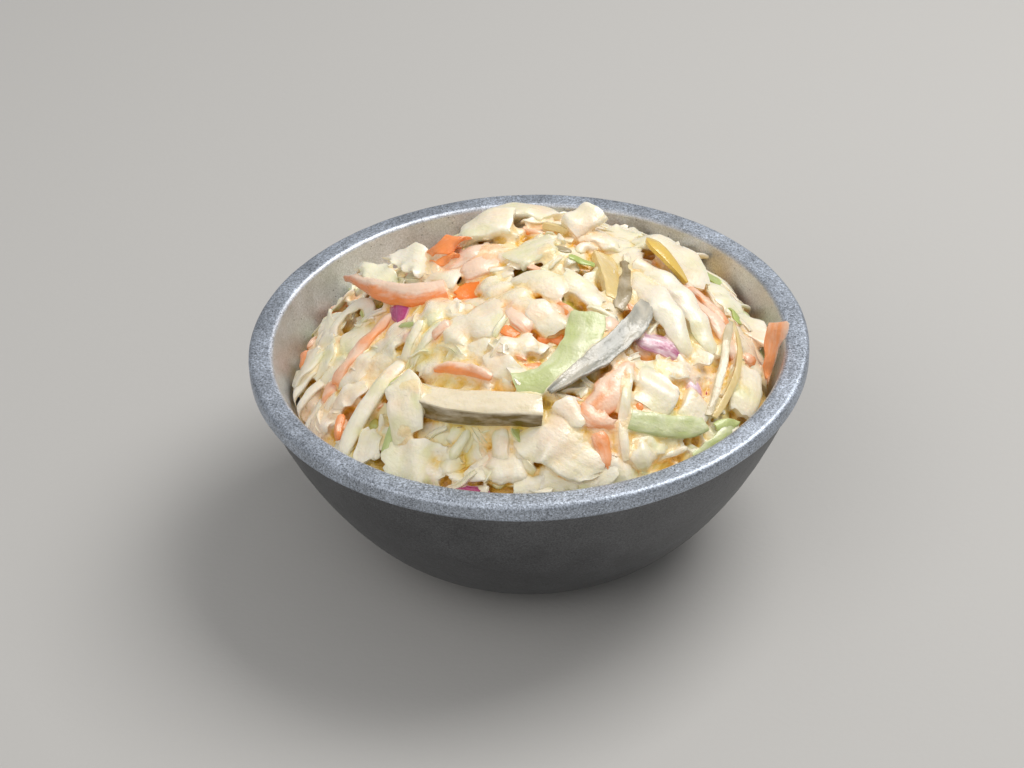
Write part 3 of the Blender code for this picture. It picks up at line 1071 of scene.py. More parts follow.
def back_left() -> list[Laid | Draped]:
    """Return the pieces of the heap's back left quarter."""
    return [
        draped(leaf(1, 1, cup=0.4, ragged=0.2), (-46, -6, 0.4, 8), (-45, 0, 1.0, 9), (-44, 6, 1.8, 5.5),
               (-43, 11, 4.4, 0.6)),
        draped(strip(1, 1, thick=1.0, ragged=0.08), (-41.5, 1, 0.6, 2.0), (-41, 7, 1.8, 2.2), (-38, 10, 2.4, 2.4),
               (-35, 7, 1.6, 2.4), (-34, 2, 0.6, 2.6)),
        Laid(leaf(12, 8, ragged=0.3), -36, -1, 30, 0.3),
        draped(leaf(1, 1, ragged=0.4, tone=0.9, fine=1.4), (-37, 19, 8.5, 1.2, 10), (-34.2, 14, 6.4, 3.6, 10),
               (-31, 10, 4.0, 4.6, 6), (-28.5, 7, 2.0, 3)),
        draped(leaf(1, 1, ragged=0.55, frill=0.6, fine=1.5), (-29.8, 15, 6.0, 3, 10), (-26.2, 12, 4.4, 6.5, 10),
               (-22.5, 8, 2.6, 7, 6), (-20, 5, 1.0, 5)),
        Laid(carrot(4.5, 3, bare=0.5, ragged=0.5), -48, 5, 40, 1.9),
        draped(carrot(1, 1, thick=2.2, ragged=0.05, edge=0.6, bare=0.0, wipe=0.42, tone=0.8, ruffle=0.25),
               (-39.6, 21, 7.2, 0.5, 8), (-34.6, 9.5, 4.6, 2.8, 14), (-28.5, 2.4, 2.6, 4.4, 18),
               (-22.5, -1.4, 1.4, 5.2, 18), (-17, -1, 0.2, 4.8, 12)),
        draped(carrot(1, 1, ragged=0.25, bare=0.12), (-28.5, -1, 0.6, 2.2), (-33, -5, 1.2, 3.0),
               (-37, -9, 1.2, 3.2), (-41, -14, 0.6, 2.2)),
        draped(carrot(1, 1, ragged=0.8, thick=1.0, bare=0.5, tone=0.8, frill=0.8, fine=1.8), (-22, 13, 2.8, 1.0),
               (-19.5, 12, 4.2, 3.0, 24), (-16.5, 11.5, 4.8, 3.6, 24), (-13, 11.5, 4.0, 3.0)),
        draped(carrot(1, 1, ragged=0.8, thick=1.0, bare=0.4, tone=0.6, frill=0.8, fine=1.8), (-21.5, 9.5, 1.8, 1.4),
               (-18, 8.5, 2.6, 2.8), (-14, 8, 2.0, 2.4)),
        draped(carrot(1, 1, ragged=0.6, thick=1.0, bare=0.8, tone=0.5, frill=0.5), (-23, 14.5, 1.6, 1.4),
               (-19, 14.5, 2.4, 3.2), (-14, 14.5, 1.8, 2.6)),
        Laid(carrot(13, 5, bare=-0.12, ragged=0.1), -11.5, 9.0, 12, 1.3),
        Laid(carrot(8, 4.6, bare=0.6, tone=1.0, ragged=0.5, fine=1.3), -11.7, -1.0, 15, -0.2),
        Laid(leaf(8, 6, thick=0.9), -9.0, -7.5, 10, 0.2),
        Laid(carrot(9, 5, bare=-0.2, ragged=0.15), -9.5, 5, 20, 1.0),
        draped(onion(1, 1, thick=1.0, cup=0.5, bare=0.7, ragged=0.12), (-27, 2.2, 0.6, 6.5), (-27.1, -1.5, 1.2, 5.4),
               (-27.3, -6.0, 0.8, 0.8)),
        Laid(onion(2.5, 1.6, bare=0.6), -24.5, -13, 30, 0.9),
        Laid(leaf(11, 9, cup=0.4), -18, 6, 70, 1.0),
        Laid(leaf(10, 8, thick=1.4, cup=0.6), -20, -8, 20, 0.9),
        draped(chunk(1, 1, thick=2.4, tone=0.3, start=0.85, end=0.95, ragged=0.07), (-13.5, 17.5, 3.6, 7.0, 18),
               (-8, 18, 3.4, 8.2, 16), (-2.5, 18, 2.2, 7.6, 12)),
        draped(chunk(1, 1, thick=2.0, tone=0.7, ragged=0.08), (-8, 24, 2.4, 6, 16), (-3.5, 26, 3.6, 7.5, 16),
               (1.5, 26, 3.0, 7, 16), (6, 24, 2.0, 6, 12)),
        Laid(leaf(12, 7, ragged=0.3), -21, 13, 20, 0.4),
        draped(leaf(1, 1, thick=1.3, cup=0.4, ragged=0.14), (-8.5, -0.5, 0.8, 4.5), (-4.5, -7, 1.4, 5.2),
               (0, -13, 1.4, 5.6), (6, -20, 0.6, 5)),
    ]


def back_right() -> list[Laid | Draped]:
    """Return the pieces of the heap's back right quarter."""
    return [
        Laid(leaf(9, 6, trim=0.5, tone=0.5), 21, 19, -20, 2.0, roll=14),
        draped(chunk(1, 1, thick=1.9, ragged=0.09, tone=0.1, ruffle=0.9, cup=0.5), (9.5, 15, 1.2, 5.6, 22),
               (12.8, 17.5, 4.0, 6.4, 24), (15.8, 19.5, 6.6, 5.6, 26)),
        Laid(gherkin(6, 4, 1.6, tone=-0.5), 7.5, 18, -30, 0.8),
        Laid(leaf(12, 8, thick=1.4, cup=0.6, trim=0.9, tone=0.5), 17.5, 15, 5, 1.6),
        draped(gherkin(1, 1, 2.0, tone=-0.55, bare=0.3, ragged=0.12), (16.5, 9, 0.0, 5.0, -8),
               (17.8, 0.5, 0.6, 5.4, -12), (18.8, -8, 0.2, 4.2, -8)),
        draped(gherkin(1, 1, 1.0, tone=1.0, bare=0.14, ragged=0.14, cup=0.4), (21, 7, 1.2, 1.4, 10),
               (20.8, -1, 1.8, 2.8, 15), (20, -6, 1.4, 3.2, 10), (19, -11, 0.6, 1.6)),
        draped(gherkin(1, 1, 1.2, tone=-1.0, bare=0.4, ragged=0.14), (26.8, 13.5, 3.0, 1.2), (28, 9.5, 3.6, 3.0),
               (31, 6, 3.4, 2.8), (34, 3.5, 2.4, 1.0)),
        draped(chunk(1, 1, thick=1.1, ragged=0.3, cup=0.5, ruffle=0.8), (23.5, 16, 1.4, 7, 14),
               (28.5, 14.5, 2.4, 9, 16), (33.5, 11.5, 2.6, 9, 18), (37.5, 7, 1.4, 6, 14)),
        Laid(carrot(4, 3.5, bare=0.6), 21.8, 2.5, 60, 0.4),
        draped(leaf(1, 1, thick=0.9, cup=0.7, ragged=0.12), (22, 3, 1.0, 4.0, 16), (25, -4, 2.2, 5.4, 18),
               (29, -11.5, 2.4, 5.2, 16), (33, -19.5, 1.2, 3.4)),
        draped(leaf(1, 1, thick=0.9, cup=0.7, ragged=0.12), (23, 5.5, 1.4, 3.6, 14), (29, 1, 2.2, 4.8, 16),
               (34.5, -7, 2.4, 5.0, 16), (38.5, -16, 1.2, 3.6)),
        draped(carrot(1, 1, bare=-0.12, ragged=0.08), (32, 4.5, 0.6, 3.5), (37, -1.5, 1.2, 4.4), (41, -7.5, 1.2, 4.6),
               (43.5, -13, 0.8, 3.4)),
        draped(carrot(1, 1, bare=0.12), (34.5, 3, 1.6, 1.6), (38.5, -1.5, 2.0, 2.4), (42, -6.5, 1.6, 2.0)),
        Laid(leaf(15, 7, trim=0.6, sweep=-30, ragged=0.2), 42, 7, -44, 2.2, roll=16),
        Laid(green(6, 2.4, tone=0.9, bare=0.7), 43.8, 3.0, -55, 2.2),
        draped(chunk(1, 1, thick=1.2, ragged=0.14), (45, 4, 1.4, 7.5, 20), (48.5, 3, 3.4, 8.5, 25),
               (52, 2, 5.6, 7.0, 30)),
        draped(carrot(1, 1, ragged=0.2, thick=1.3, bare=0.06, wipe=0.2, tone=0.4), (53.6, -4.0, 13.4, 4.6, 15),
               (52.6, -6.4, 10.0, 5.0, 15), (51.4, -9.2, 5.6, 3.8, 15), (50.6, -12.4, 2.0, 1.2, 10)),
        Laid(onion(11, 5.2, sweep=-20, bare=0.22, tone=0.0), 27, -18.5, -18, 1.4, roll=-12),
        Laid(leaf(19, 4, end=0.05, start=0.5, ragged=0.08, sweep=12), 30, -24, 12, 1.5),
        Laid(leaf(12, 8, cup=0.3), 22, 22, 20, 0.6),
        Laid(leaf(9, 7, thick=1.0, tone=0.4), 21.5, 8.5, 40, 0.8),
        Laid(leaf(14, 8, cup=0.3), 46, -10, -75, 0.4),
    ]


def centre() -> list[Laid | Draped]:
    """Return the pieces round the heap's crown and the middle of its front."""
    return [
        Laid(chunk(11, 9, thick=2.0, tone=1.0, ragged=0.12, cup=0.4), 1.5, 6.5, 25, 1.6),
        draped(chunk(1, 1, thick=1.3, ragged=0.22, cup=0.5), (-3, -3, 0.8, 5), (2.5, -5.5, 1.6, 5.8), (8, -10, 1.0, 5)),
        draped(chunk(1, 1, thick=1.2, ragged=0.25, cup=0.5), (8, -4, 0.8, 4.5), (12, -7, 1.6, 6.5),
               (15.5, -10.5, 1.0, 5.5)),
        Laid(leaf(9, 5, ragged=0.4), 16, -12, -60, 1.0),
        Laid(gherkin(5.5, 2.4, 1.2, tone=0.6, bare=0.7, start=0.1, end=0.1), 7, 6.0, -15, 1.0),
        Laid(green(6, 1.8, tone=1.0, bare=0.7), 11.5, 2.5, 5, 1.8),
        Laid(chunk(15, 10, thick=1.5, ragged=0.3, cup=0.6, ruffle=0.9), -11, -16, 15, 1.0),
        Laid(leaf(10, 6, thick=1.4, cup=0.4), 3, -14.5, -20, 1.0),
        Laid(carrot(5, 2.4, bare=-0.05), -18, -15, 35, 1.6),
        Laid(carrot(9, 4, bare=-0.1, sweep=40), -1.5, -16, -70, 1.6),
        Laid(carrot(5, 3, bare=0.6), -5.5, -12.5, 0, 0.6),
        Laid(carrot(6, 2, bare=0.3), 8, -14.5, -58, 1.0),
        Laid(carrot(5, 4, bare=-0.2), 17, -18, 40, 0.9),
        Laid(chunk(8, 5, thick=1.3, ragged=0.35, cup=0.6, ruffle=0.8), -2, -24, 20, 1.2),
        Laid(leaf(8, 6, thick=1.0), -5.5, -30, -20, 0.8),
        Laid(carrot(7, 4.2, bare=0.5, tone=0.8, ragged=0.4, thick=1.0), -4, -19, -20, -0.2),
        Laid(carrot(7, 3.2, bare=0.3, tone=0.6, ragged=0.35), 2.0, -28, 10, -1.6),
        Laid(carrot(6, 3, bare=0.3, tone=0.6, ragged=0.35), 4.5, -20, 0, -1.0),
        draped(green(1, 1, thick=0.7, tone=0.3, ragged=0.06, bare=0.3, cup=0.4), (12.5, -17, 1.2, 6.5, 0),
               (11.3, -22.5, 2.0, 7.6, 0), (8.5, -28, 2.4, 6.4, 0), (3.5, -33, 2.4, 5.6, 0), (-3, -35, 1.8, 5.4, 0)),
        draped(gherkin(1, 1, 0.9, tone=1.7, bare=0.22, ragged=0.14, cup=-0.4), (25, -9, 1.4, 3.0),
               (21.5, -18.5, 2.4, 4.6), (14.5, -27.5, 3.0, 4.4), (9.5, -32.5, 3.0, 3.2), (4, -37, 2.4, 0.8)),
        draped(gherkin(1, 1, 4.6, tone=0.0, rind=Side.RIGHT, ragged=0.04, bare=0.04, ruffle=0.05, stray=0.0,
                       start=0.96, end=0.95), (-24.5, -30, 1.0, 5.6, -26, 0.9), (-17, -34.2, 1.3, 5.8, -28, 1.0),
               (-7.5, -38, 1.4, 5.8, -28, 1.0), (2.2, -39.6, 1.4, 5.6, -26, 1.0)),
        draped(carrot(1, 1, bare=0.12, ragged=0.2, tone=0.5, thick=1.2, wipe=0.2), (-19.6, -24.5, 1.0, 1.2),
               (-15.3, -27.0, 2.0, 2.3), (-11.5, -30.0, 2.0, 2.2), (-7.7, -32.5, 1.4, 1.2)),
        Laid(leaf(10, 7, thick=1.0), -13.5, -31, -35, 0.0),
        Laid(leaf(7, 6, thick=0.9), -20.5, -20.5, 30, 0.0),
        Laid(leaf(7, 5, thick=0.9), -10.6, -24.0, 70, 0.0),
        Laid(gherkin(6, 4, 1.0, tone=0.35, bare=0.2, ragged=0.2), -25.0, -19.5, 60, 0.9),
        Laid(strip(13, 2.2, thick=1.2), -16, -25.5, -20, 0.8),
    ]


def front_left() -> list[Laid | Draped]:
    """Return the pieces of the heap's front left quarter."""
    return [
        draped(strip(1, 1, thick=1.2, start=0.95, ragged=0.05, cup=0.3), (-26.5, -18, 1.2, 2.6, -10),
               (-31.5, -24.5, 1.8, 3.2, -10), (-36, -29.5, 1.8, 3.2, -10), (-39.5, -34, 1.2, 2.8, -10)),
        draped(leaf(1, 1, trim=0.8, thick=1.1, ragged=0.2), (-27, -24, 1.2, 4.0), (-26, -28.5, 3.6, 6.0),
               (-25.4, -33, 3.6, 7.4), (-25, -38, 1.6, 6.0)),
        Laid(leaf(13, 10, trim=0.9, cup=0.3, thick=1.3, start=0.7), -24, -42, 160, 1.4, roll=-8),
        draped(green(1, 1, tone=0.6, bare=0.4, ragged=0.08), (-30, -39, 1.4, 1.4), (-28.3, -36.5, 1.8, 2.0),
               (-26, -33.5, 1.4, 1.0)),
        Laid(green(9, 1.4, tone=0.6, bare=0.5, end=0.1), -27, -23, 60, 2.0),
        Laid(leaf(9, 5, cup=0.3), -38, -20, 20, 1.2),
        Laid(leaf(13, 10, cup=0.3), -44, -21, 40, 0.6),
        Laid(carrot(6, 1.6, bare=0.3), -39.5, -27, 70, 1.0),
        draped(strip(1, 1, thick=1.0, ragged=0.1), (-46, -4, 0.8, 3.0), (-50, -7, 2.4, 2.0), (-53.5, -10.5, 3.4, 0.5)),
        draped(strip(1, 1, thick=1.0, ragged=0.1), (-44, -9, 0.8, 3.0), (-48.5, -12, 2.2, 2.0), (-52.5, -15.5, 3.0, 0.5)),
        draped(strip(1, 1, thick=1.0, ragged=0.1), (-48, 1, 0.8, 3.4), (-52, -2.5, 2.6, 2.2), (-54.5, -6, 4.0, 0.5)),
        draped(strip(1, 1, thick=0.8, ragged=0.1), (-44, -15, 0.8, 2.2), (-47.5, -17.5, 1.8, 1.4), (-51, -20.5, 2.0, 0.4)),
        Laid(leaf(9, 6, ragged=0.3, cup=-0.4), -47, -1, 70, 1.6, roll=-10),
        Laid(leaf(7, 5, cup=0.5, curl=1.0), -33, -35, 60, 1.2),
        Laid(leaf(9, 7, thick=0.9), -33, -16.5, 30, 0.2),
        Laid(leaf(8, 6, thick=0.9), -41.5, -8, 60, 0.3),
        draped(leaf(1, 1, thick=0.9, ragged=0.35, fine=1.3), (-45, 0, 1.6, 6), (-49.5, -1, 2.8, 7.5),
               (-53.5, -2, 4.0, 4)),
        Laid(leaf(11, 8, ragged=0.3, cup=0.3), -28, -11, 20, 0.9),
        Laid(strip(10, 1.8, thick=1.0), -24, -15, 55, 1.8),
        Laid(strip(12, 1.6, thick=1.0, sweep=30), -21.5, -17, 40, 1.6),
        Laid(green(5, 1.0, tone=0.5), -25, -9.5, -30, 1.8),
        Laid(leaf(12, 7, cup=0.3), -36, -13, 30, 0.7),
        Laid(leaf(10, 6, cup=0.3, tone=0.5, ragged=0.3), -12, -40, -5, 0.3),
        Laid(strip(7, 3, tone=0.6, start=0.9, end=0.9), -6, -43.5, 80, 1.6),
        Laid(chunk(8, 5.5, thick=1.3, ragged=0.3, cup=0.5), -4.5, -47.5, 20, 0.8),
        Laid(leaf(9, 3.6, ragged=0.35), -12.5, -46.5, -4, 0.9),
        Laid(onion(9, 3, bare=0.5), -13, -49.5, -8, 0.9),
        Laid(leaf(9, 7, cup=0.3, tone=0.4), -19, -38, 10, 0.2),
        Laid(leaf(10, 7, cup=0.3), -40, -33, 50, 0.3),
    ]


def front_right() -> list[Laid | Draped]:
    """Return the pieces of the heap's front right quarter."""
    return [
        Laid(leaf(17, 12, cup=0.4, thick=1.1, rib=0.4, ragged=0.14, tone=0.3), 7, -44.5, -38, 1.8, roll=-8),
        Laid(chunk(7, 4.6, thick=1.2, ragged=0.3, cup=0.6), 8, -39.5, -60, 2.4),
        draped(carrot(1, 1, thick=1.3, bare=0.0, ragged=0.4, cup=0.5), (19.5, -27.5, 0.8, 3.4), (18, -32, 1.6, 4.8),
               (14.5, -36.5, 1.4, 5.2), (11, -38.5, 0.8, 3.6)),
        draped(carrot(1, 1, thick=1.3, bare=0.05, ragged=0.45, cup=0.4), (10.5, -39, 1.0, 3.4), (13.5, -41, 2.0, 6.0),
               (17, -40, 1.6, 4.2)),
        draped(carrot(1, 1, thick=1.6, bare=0.1, ragged=0.25), (13, -42.5, 1.0, 2.5), (14.5, -45, 1.4, 3.4),
               (14, -48, 0.8, 2.0)),
        draped(strip(1, 1, thick=0.6, tone=0.5, ragged=0.1, ruffle=0.5), (20.5, -28, 1.4, 1.2),
               (19.5, -35, 2.0, 1.6), (18.5, -42, 1.8, 1.6), (19, -46, 1.0, 1.2)),
        Laid(chunk(9, 8.5, thick=1.4, start=0.95, end=0.95, ragged=0.1, ruffle=0.8), 25.5, -31.5, 75, 1.6, roll=-8),
        Laid(chunk(8, 6, thick=1.5, start=0.95, end=0.9, ragged=0.06), 33, -31.5, 75, 1.4),
        Laid(carrot(3.5, 3, bare=0.5), 22.5, -35.5, 0, 0.8),
        Laid(onion(7, 4, bare=0.2, rind=Side.LEFT, tone=0.15), 33.5, -25.5, -50, 0.8),
        draped(green(1, 1, tone=0.3, ragged=0.05, thick=1.2, bare=0.2), (20, -39, 1.6, 4.0), (25, -38.3, 2.4, 4.2),
               (30, -36.5, 2.4, 4.2), (35.5, -33, 1.6, 3.2)),
        Laid(green(15, 3.6, tone=0.6, start=0.5, end=0.05, ragged=0.25, bare=0.2), 38, -34, 52, 1.8),
        Laid(green(7, 2, tone=0.6, end=0.05), 40, -30, 20, 2.2),
        Laid(strip(7, 3.2, start=0.6, end=0.9), 42, -31, 10, 1.8),
        draped(gherkin(1, 1, 0.7, tone=0.30, ragged=0.2, bare=0.30), (43, -4, 2.0, 0.9, 20),
               (41.6, -12, 2.8, 1.3, 25), (39.6, -22, 2.8, 1.3, 25), (36.3, -31.5, 2.0, 0.8, 20)),
        draped(gherkin(1, 1, 0.6, tone=-0.5, ragged=0.2, bare=0.35), (43.2, -4, 2.2, 0.7),
               (44.2, -13, 2.6, 0.9), (42.0, -22, 2.4, 1.1), (37.6, -31, 1.6, 0.8)),
        Laid(chunk(13, 8.5, thick=1.8, ragged=0.1), 44.5, -19.5, -82, 1.6, roll=8),
        Laid(carrot(4, 3, bare=0.1), 46, -11, 30, 1.6),
        Laid(leaf(12, 6, ragged=0.12), 46, -8, -40, 1.6),
        Laid(onion(3, 2.4, bare=0.7), 36.5, -26, 80, 0.0),
        Laid(leaf(8, 6, thick=0.9), 37, -22.5, 30, 0.0),
        Laid(leaf(18, 3.6, thick=1.2, tone=0.5, ragged=0.15), 28, -44.5, 24, 1.6),
        Laid(carrot(9, 1.8, bare=-0.1), 27, -45, 24, 2.2),
        Laid(carrot(7, 2.4, bare=-0.05), 33, -40.5, 38, 1.2),
        Laid(leaf(12, 3.4, end=0.1), 24, -40.8, 8, 2.0),
        Laid(chunk(5, 4, ragged=0.4, ruffle=0.8), 22, -43.5, 40, 1.8),
        Laid(leaf(13, 8, cup=0.3, tone=0.6, rib=0.3), 16, -48, 20, 0.6),
        Laid(leaf(10, 7, cup=0.3, tone=0.4), 6, -50, 10, 0.2),
        Laid(gherkin(9, 4, 2.0, tone=0.5), -1, -43, -50, -0.4),
        Laid(strip(7, 1.6, thick=0.9, tone=0.5), -14.5, -41, 60, 1.2),
        Laid(strip(8, 1.2, thick=0.8), -9.5, -41.5, 100, 1.4),
        Laid(strip(6, 1.8, thick=0.9), -11, -45.5, 20, 1.2),
        Laid(leaf(5, 3.4, thick=0.8, ragged=0.4, fine=1.3), -16.5, -43, -10, 1.0),
        Laid(strip(9, 0.9, thick=0.7, sweep=40), 23.5, -37, 40, 1.6),
        Laid(strip(10, 1.0, thick=0.7, sweep=-30), 31.5, -22, -50, 1.8),
        Laid(strip(8, 1.0, thick=0.7), 28, -40, 30, 1.6),
        Laid(leaf(8, 6, cup=0.3), -1, -50, 80, 0.4),
        Laid(leaf(10, 6, cup=0.3, tone=0.4), 38, -14, -60, 0.4),
    ]


@dataclass(frozen=True)
class Batch:
    """A batch of cuts strewn over a layer of the heap.

    Lengths are in millimetres; tilt is in degrees. An open batch keeps to where nothing was laid one by one,
    and no batch comes nearer to the front than its own limit.
    """

    name: str
    cuts: tuple[Cut, ...]
    depth: float
    spacing: float
    tilt: float
    seed: int
    smallest: float = 0.8
    largest: float = 1.15
    open_only: bool = False
    front: float = -60.0

    @property
    def kind(self) -> Kind:
        """The kind of vegetable strewn."""
        return self.cuts[0].kind


def drawn(draw: random.Random, maker: object, length: tuple[float, float], width: tuple[float, float],
          count: int, **more: object) -> tuple[Cut, ...]:
    """Return a few cuts of one sort, each a little different.

    Args:
        draw: Source of randomness.
        maker: The function that makes the sort.
        length: Shortest and longest.
        width: Narrowest and widest.
        count: How many.
        **more: Settings shared by all of them.

    Returns:
        The cuts.
    """
    return tuple(maker(draw.uniform(*length), draw.uniform(*width), bend=draw.uniform(5, 55),
                       sweep=draw.uniform(-35, 35), twist=draw.uniform(-35, 35), cup=draw.uniform(-0.7, 0.7),
                       end=draw.uniform(0.1, 0.9), tone=draw.uniform(0.0, 0.7), **more) for _ in range(count))


def batches() -> list[Batch]:
    """Return everything that is strewn, the deepest first."""
    draw = random.Random(31)
    low = {"fine": 0.72}
    plates = drawn(draw, leaf, (9, 15), (6, 10), 10, **low)
    ribs = drawn(draw, chunk, (7, 12), (4, 7), 6, **low)
    strips = drawn(draw, strip, (12, 22), (2.0, 3.8), 8, **low)
    return [
        Batch("middle_white", plates + ribs + strips, 1.9, 6.7, 22, 7),
        Batch("white_slivers", drawn(draw, strip, (4, 10), (0.8, 1.7), 6, **low), 0.0, 9, 12, 21),
        Batch("white_chips", drawn(random.Random(5), leaf, (3, 6.5), (1.8, 3.4), 8, thick=0.6), 0.0, 8, 16, 24),
        Batch("carrot_crumbs", drawn(draw, carrot, (2.5, 5), (0.9, 1.6), 5, thick=0.9, bare=0.1), 0.2, 13.0, 16, 22),
        Batch("upper_white", plates + ribs + strips, 1.0, 6.7, 14, 8, open_only=True),
        Batch("middle_green", drawn(draw, green, (7, 15), (1.8, 4.5), 5, **low), 1.8, 17.0, 20, 11),
        Batch("upper_green", drawn(draw, green, (8, 18), (1.8, 6.0), 5, **low), 0.4, 15.0, 10, 12, open_only=True, front=14.0),
        Batch("middle_carrot", drawn(draw, carrot, (7, 14), (1.8, 4.0), 7), 2.0, 12.0, 22, 13),
        Batch("upper_carrot", drawn(draw, carrot, (8, 18), (2.2, 5.0), 7), 0.6, 13.5, 10, 14, open_only=True, front=14.0),
        Batch("middle_gherkin", drawn(draw, partial(gherkin, thick=1.6), (6, 12), (3, 5), 4, **low), 2.4, 20.0, 20, 15),
        Batch("upper_gherkin", drawn(draw, partial(gherkin, thick=2.4, rind=Side.LEFT), (10, 18), (4, 6), 3),
              0.4, 24.0, 10, 26, open_only=True, front=18.0),
        Batch("upper_onion", drawn(draw, onion, (5, 11), (2.5, 5), 4), 0.4, 22.0, 10, 17, open_only=True, front=28.0),
    ]


@dataclass
class Salad:
    """The pieces of the salad: laid one by one, strewn between, and kept inside the bowl."""

    bowl: CastBowl
    skin: HeapSkin
    lots: int = 5
    wall_clear: float = 0.25
    squeeze: float = 2.5
    over_rim: float = 3.0
    over_room: float = 7.0
    layer_reach: float = 50.0
    clearance: float = 2.5

    def inside(self, points: np.ndarray) -> np.ndarray:
        """Return points pressed back from the bowl's wall, as soft pieces are.

        Args:
            points: Points in millimetres.

        Returns:
            The same points, none of them in or past the wall below the rim.
        """
        radius = np.hypot(points[:, 0], points[:, 1])
        above = np.clip((points[:, 2] - self.bowl.height) / self.over_rim, 0, 1)
        limit = self.bowl.inner_radius(points[:, 2]) - self.wall_clear + above * self.over_room
        over = np.maximum(radius - (limit - self.squeeze), 0)
        pressed = np.where(over > 0, limit - self.squeeze * np.exp(-over / self.squeeze), radius)
        moved = points.copy()
        moved[:, :2] *= (pressed / np.maximum(radius, 1e-6))[:, None]
        moved[:, 2] += 0.35 * (radius - pressed)
        return moved

    def laid(self) -> dict[Kind, list[Patch]]:
        """Return the pieces laid one by one, by kind."""
        pieces = {kind: [] for kind in Kind}
        layout = back_left() + back_right() + centre() + front_left() + front_right()
        for index, piece in enumerate(layout):
            patch = piece.patch(self.skin, 1000 + index)
            patch.points = self.inside(patch.points)
            patch.lot[:] = index % self.lots
            pieces[piece.cut.kind].append(patch)
        return pieces

    def layer(self, batch: Batch, taken: KDTree) -> bpy.types.Object:
        """Return the heap's skin, sunk by a batch's depth, as a mesh to strew it on.

        Args:
            batch: The batch.
            taken: The points of what was laid one by one, seen from above.

        Returns:
            The layer, with a "room" attribute: 1 where the batch may lie.
        """
        rings, spokes = 26, 72
        radii = np.sqrt(np.linspace(0.0005, 1, rings)) * self.layer_reach
        angles = np.arange(spokes) * FULL_TURN / spokes
        x = radii[:, None] * np.cos(angles)[None, :]
        y = radii[:, None] * np.sin(angles)[None, :]
        z = self.skin.height(x, y) - batch.depth
        index = np.arange(rings * spokes).reshape(rings, spokes)
        following = np.roll(index, -1, axis=1)
        faces = np.stack([index[:-1], index[1:], following[1:], following[:-1]], -1).reshape(-1, 4)
        points = np.stack([x, y, z], -1).reshape(-1, 3)
        room = np.ones(len(points), np.float32)
        if batch.open_only:
            gaps = [taken.find((px, py, 0))[2] for px, py in points[:, :2]]
            room = (np.array(gaps) > self.clearance).astype(np.float32)
        room *= points[:, 1] > batch.front
        mesh = plain_mesh(batch.name + "_layer", points, faces)
        mesh.attributes.new("room", "FLOAT", "POINT").data.foreach_set("value", room)
        return linked(batch.name + "_layer", mesh)

    @staticmethod
    def strewing() -> bpy.types.NodeTree:
        """Return the Geometry Nodes tree that strews the cuts of a collection over a layer."""
        tree = bpy.data.node_groups.new("strewing", "GeometryNodeTree")
        bench = NodeBench(tree)
        declare(tree, (("Geometry", "Geometry"), ("Cuts", "Collection"), ("Spacing", "Float"), ("Tilt", "Float"),
                       ("Smallest", "Float"), ("Largest", "Float"), ("Lots", "Int"), ("Seed", "Int"),
                       ("Finish", "Material")))
        given = bench.add("NodeGroupInput").outputs
        density = bench.math("DIVIDE", 4.0, bench.math("MULTIPLY", given["Spacing"], given["Spacing"]))
        room = bench.add("GeometryNodeInputNamedAttribute", {"Name": "room"}, data_type="FLOAT").outputs[0]
        points = bench.add("GeometryNodeDistributePointsOnFaces", {
            "Mesh": given["Geometry"], "Distance Min": given["Spacing"], "Density Max": density,
            "Density Factor": room, "Seed": given["Seed"]}, distribute_method="POISSON")
        cuts = bench.add("GeometryNodeCollectionInfo", {"Collection": given["Cuts"], "Separate Children": True,
                                                        "Reset Children": True})
        lean = bench.math("MULTIPLY", given["Tilt"], -1.0)
        low = bench.add("ShaderNodeCombineXYZ", {0: lean, 1: lean, 2: 0.0}).outputs[0]
        high = bench.add("ShaderNodeCombineXYZ", {0: given["Tilt"], 1: given["Tilt"], 2: FULL_TURN}).outputs[0]
        spin = bench.add("FunctionNodeRandomValue", {0: low, 1: high, "Seed": given["Seed"]},
                         data_type="FLOAT_VECTOR").outputs[0]
        turned = bench.add("FunctionNodeRotateRotation", {0: points.outputs["Rotation"], 1: spin},
                           rotation_space="LOCAL").outputs[0]
        sizes = bench.add("FunctionNodeRandomValue", {2: given["Smallest"], 3: given["Largest"],
                                                      "Seed": given["Seed"]}, data_type="FLOAT").outputs[1]
        placed = bench.add("GeometryNodeInstanceOnPoints", {
            "Points": points.outputs["Points"], "Instance": cuts.outputs[0], "Pick Instance": True,
            "Rotation": turned, "Scale": sizes}).outputs[0]
        top = bench.math("SUBTRACT", given["Lots"], 1.0)
        lot = bench.add("FunctionNodeRandomValue", {4: 0, 5: top, "Seed": given["Seed"]}, data_type="INT").outputs[2]
        lotted = bench.add("GeometryNodeStoreNamedAttribute", {0: placed, "Name": "lot", "Value": lot},
                           data_type="INT", domain="INSTANCE").outputs[0]
        shift = bench.add("FunctionNodeRandomValue", {2: -0.2, 3: 0.3, "Seed": given["Seed"]},
                          data_type="FLOAT").outputs[1]
        toned = bench.add("GeometryNodeStoreNamedAttribute", {0: lotted, "Name": "shift", "Value": shift},
                          data_type="FLOAT", domain="INSTANCE").outputs[0]
        real = bench.add("GeometryNodeRealizeInstances", {0: toned}).outputs[0]
        finished = bench.add("GeometryNodeSetMaterial", {"Geometry": real, "Material": given["Finish"]}).outputs[0]
        bench.add("NodeGroupOutput", {0: finished})
        return tree

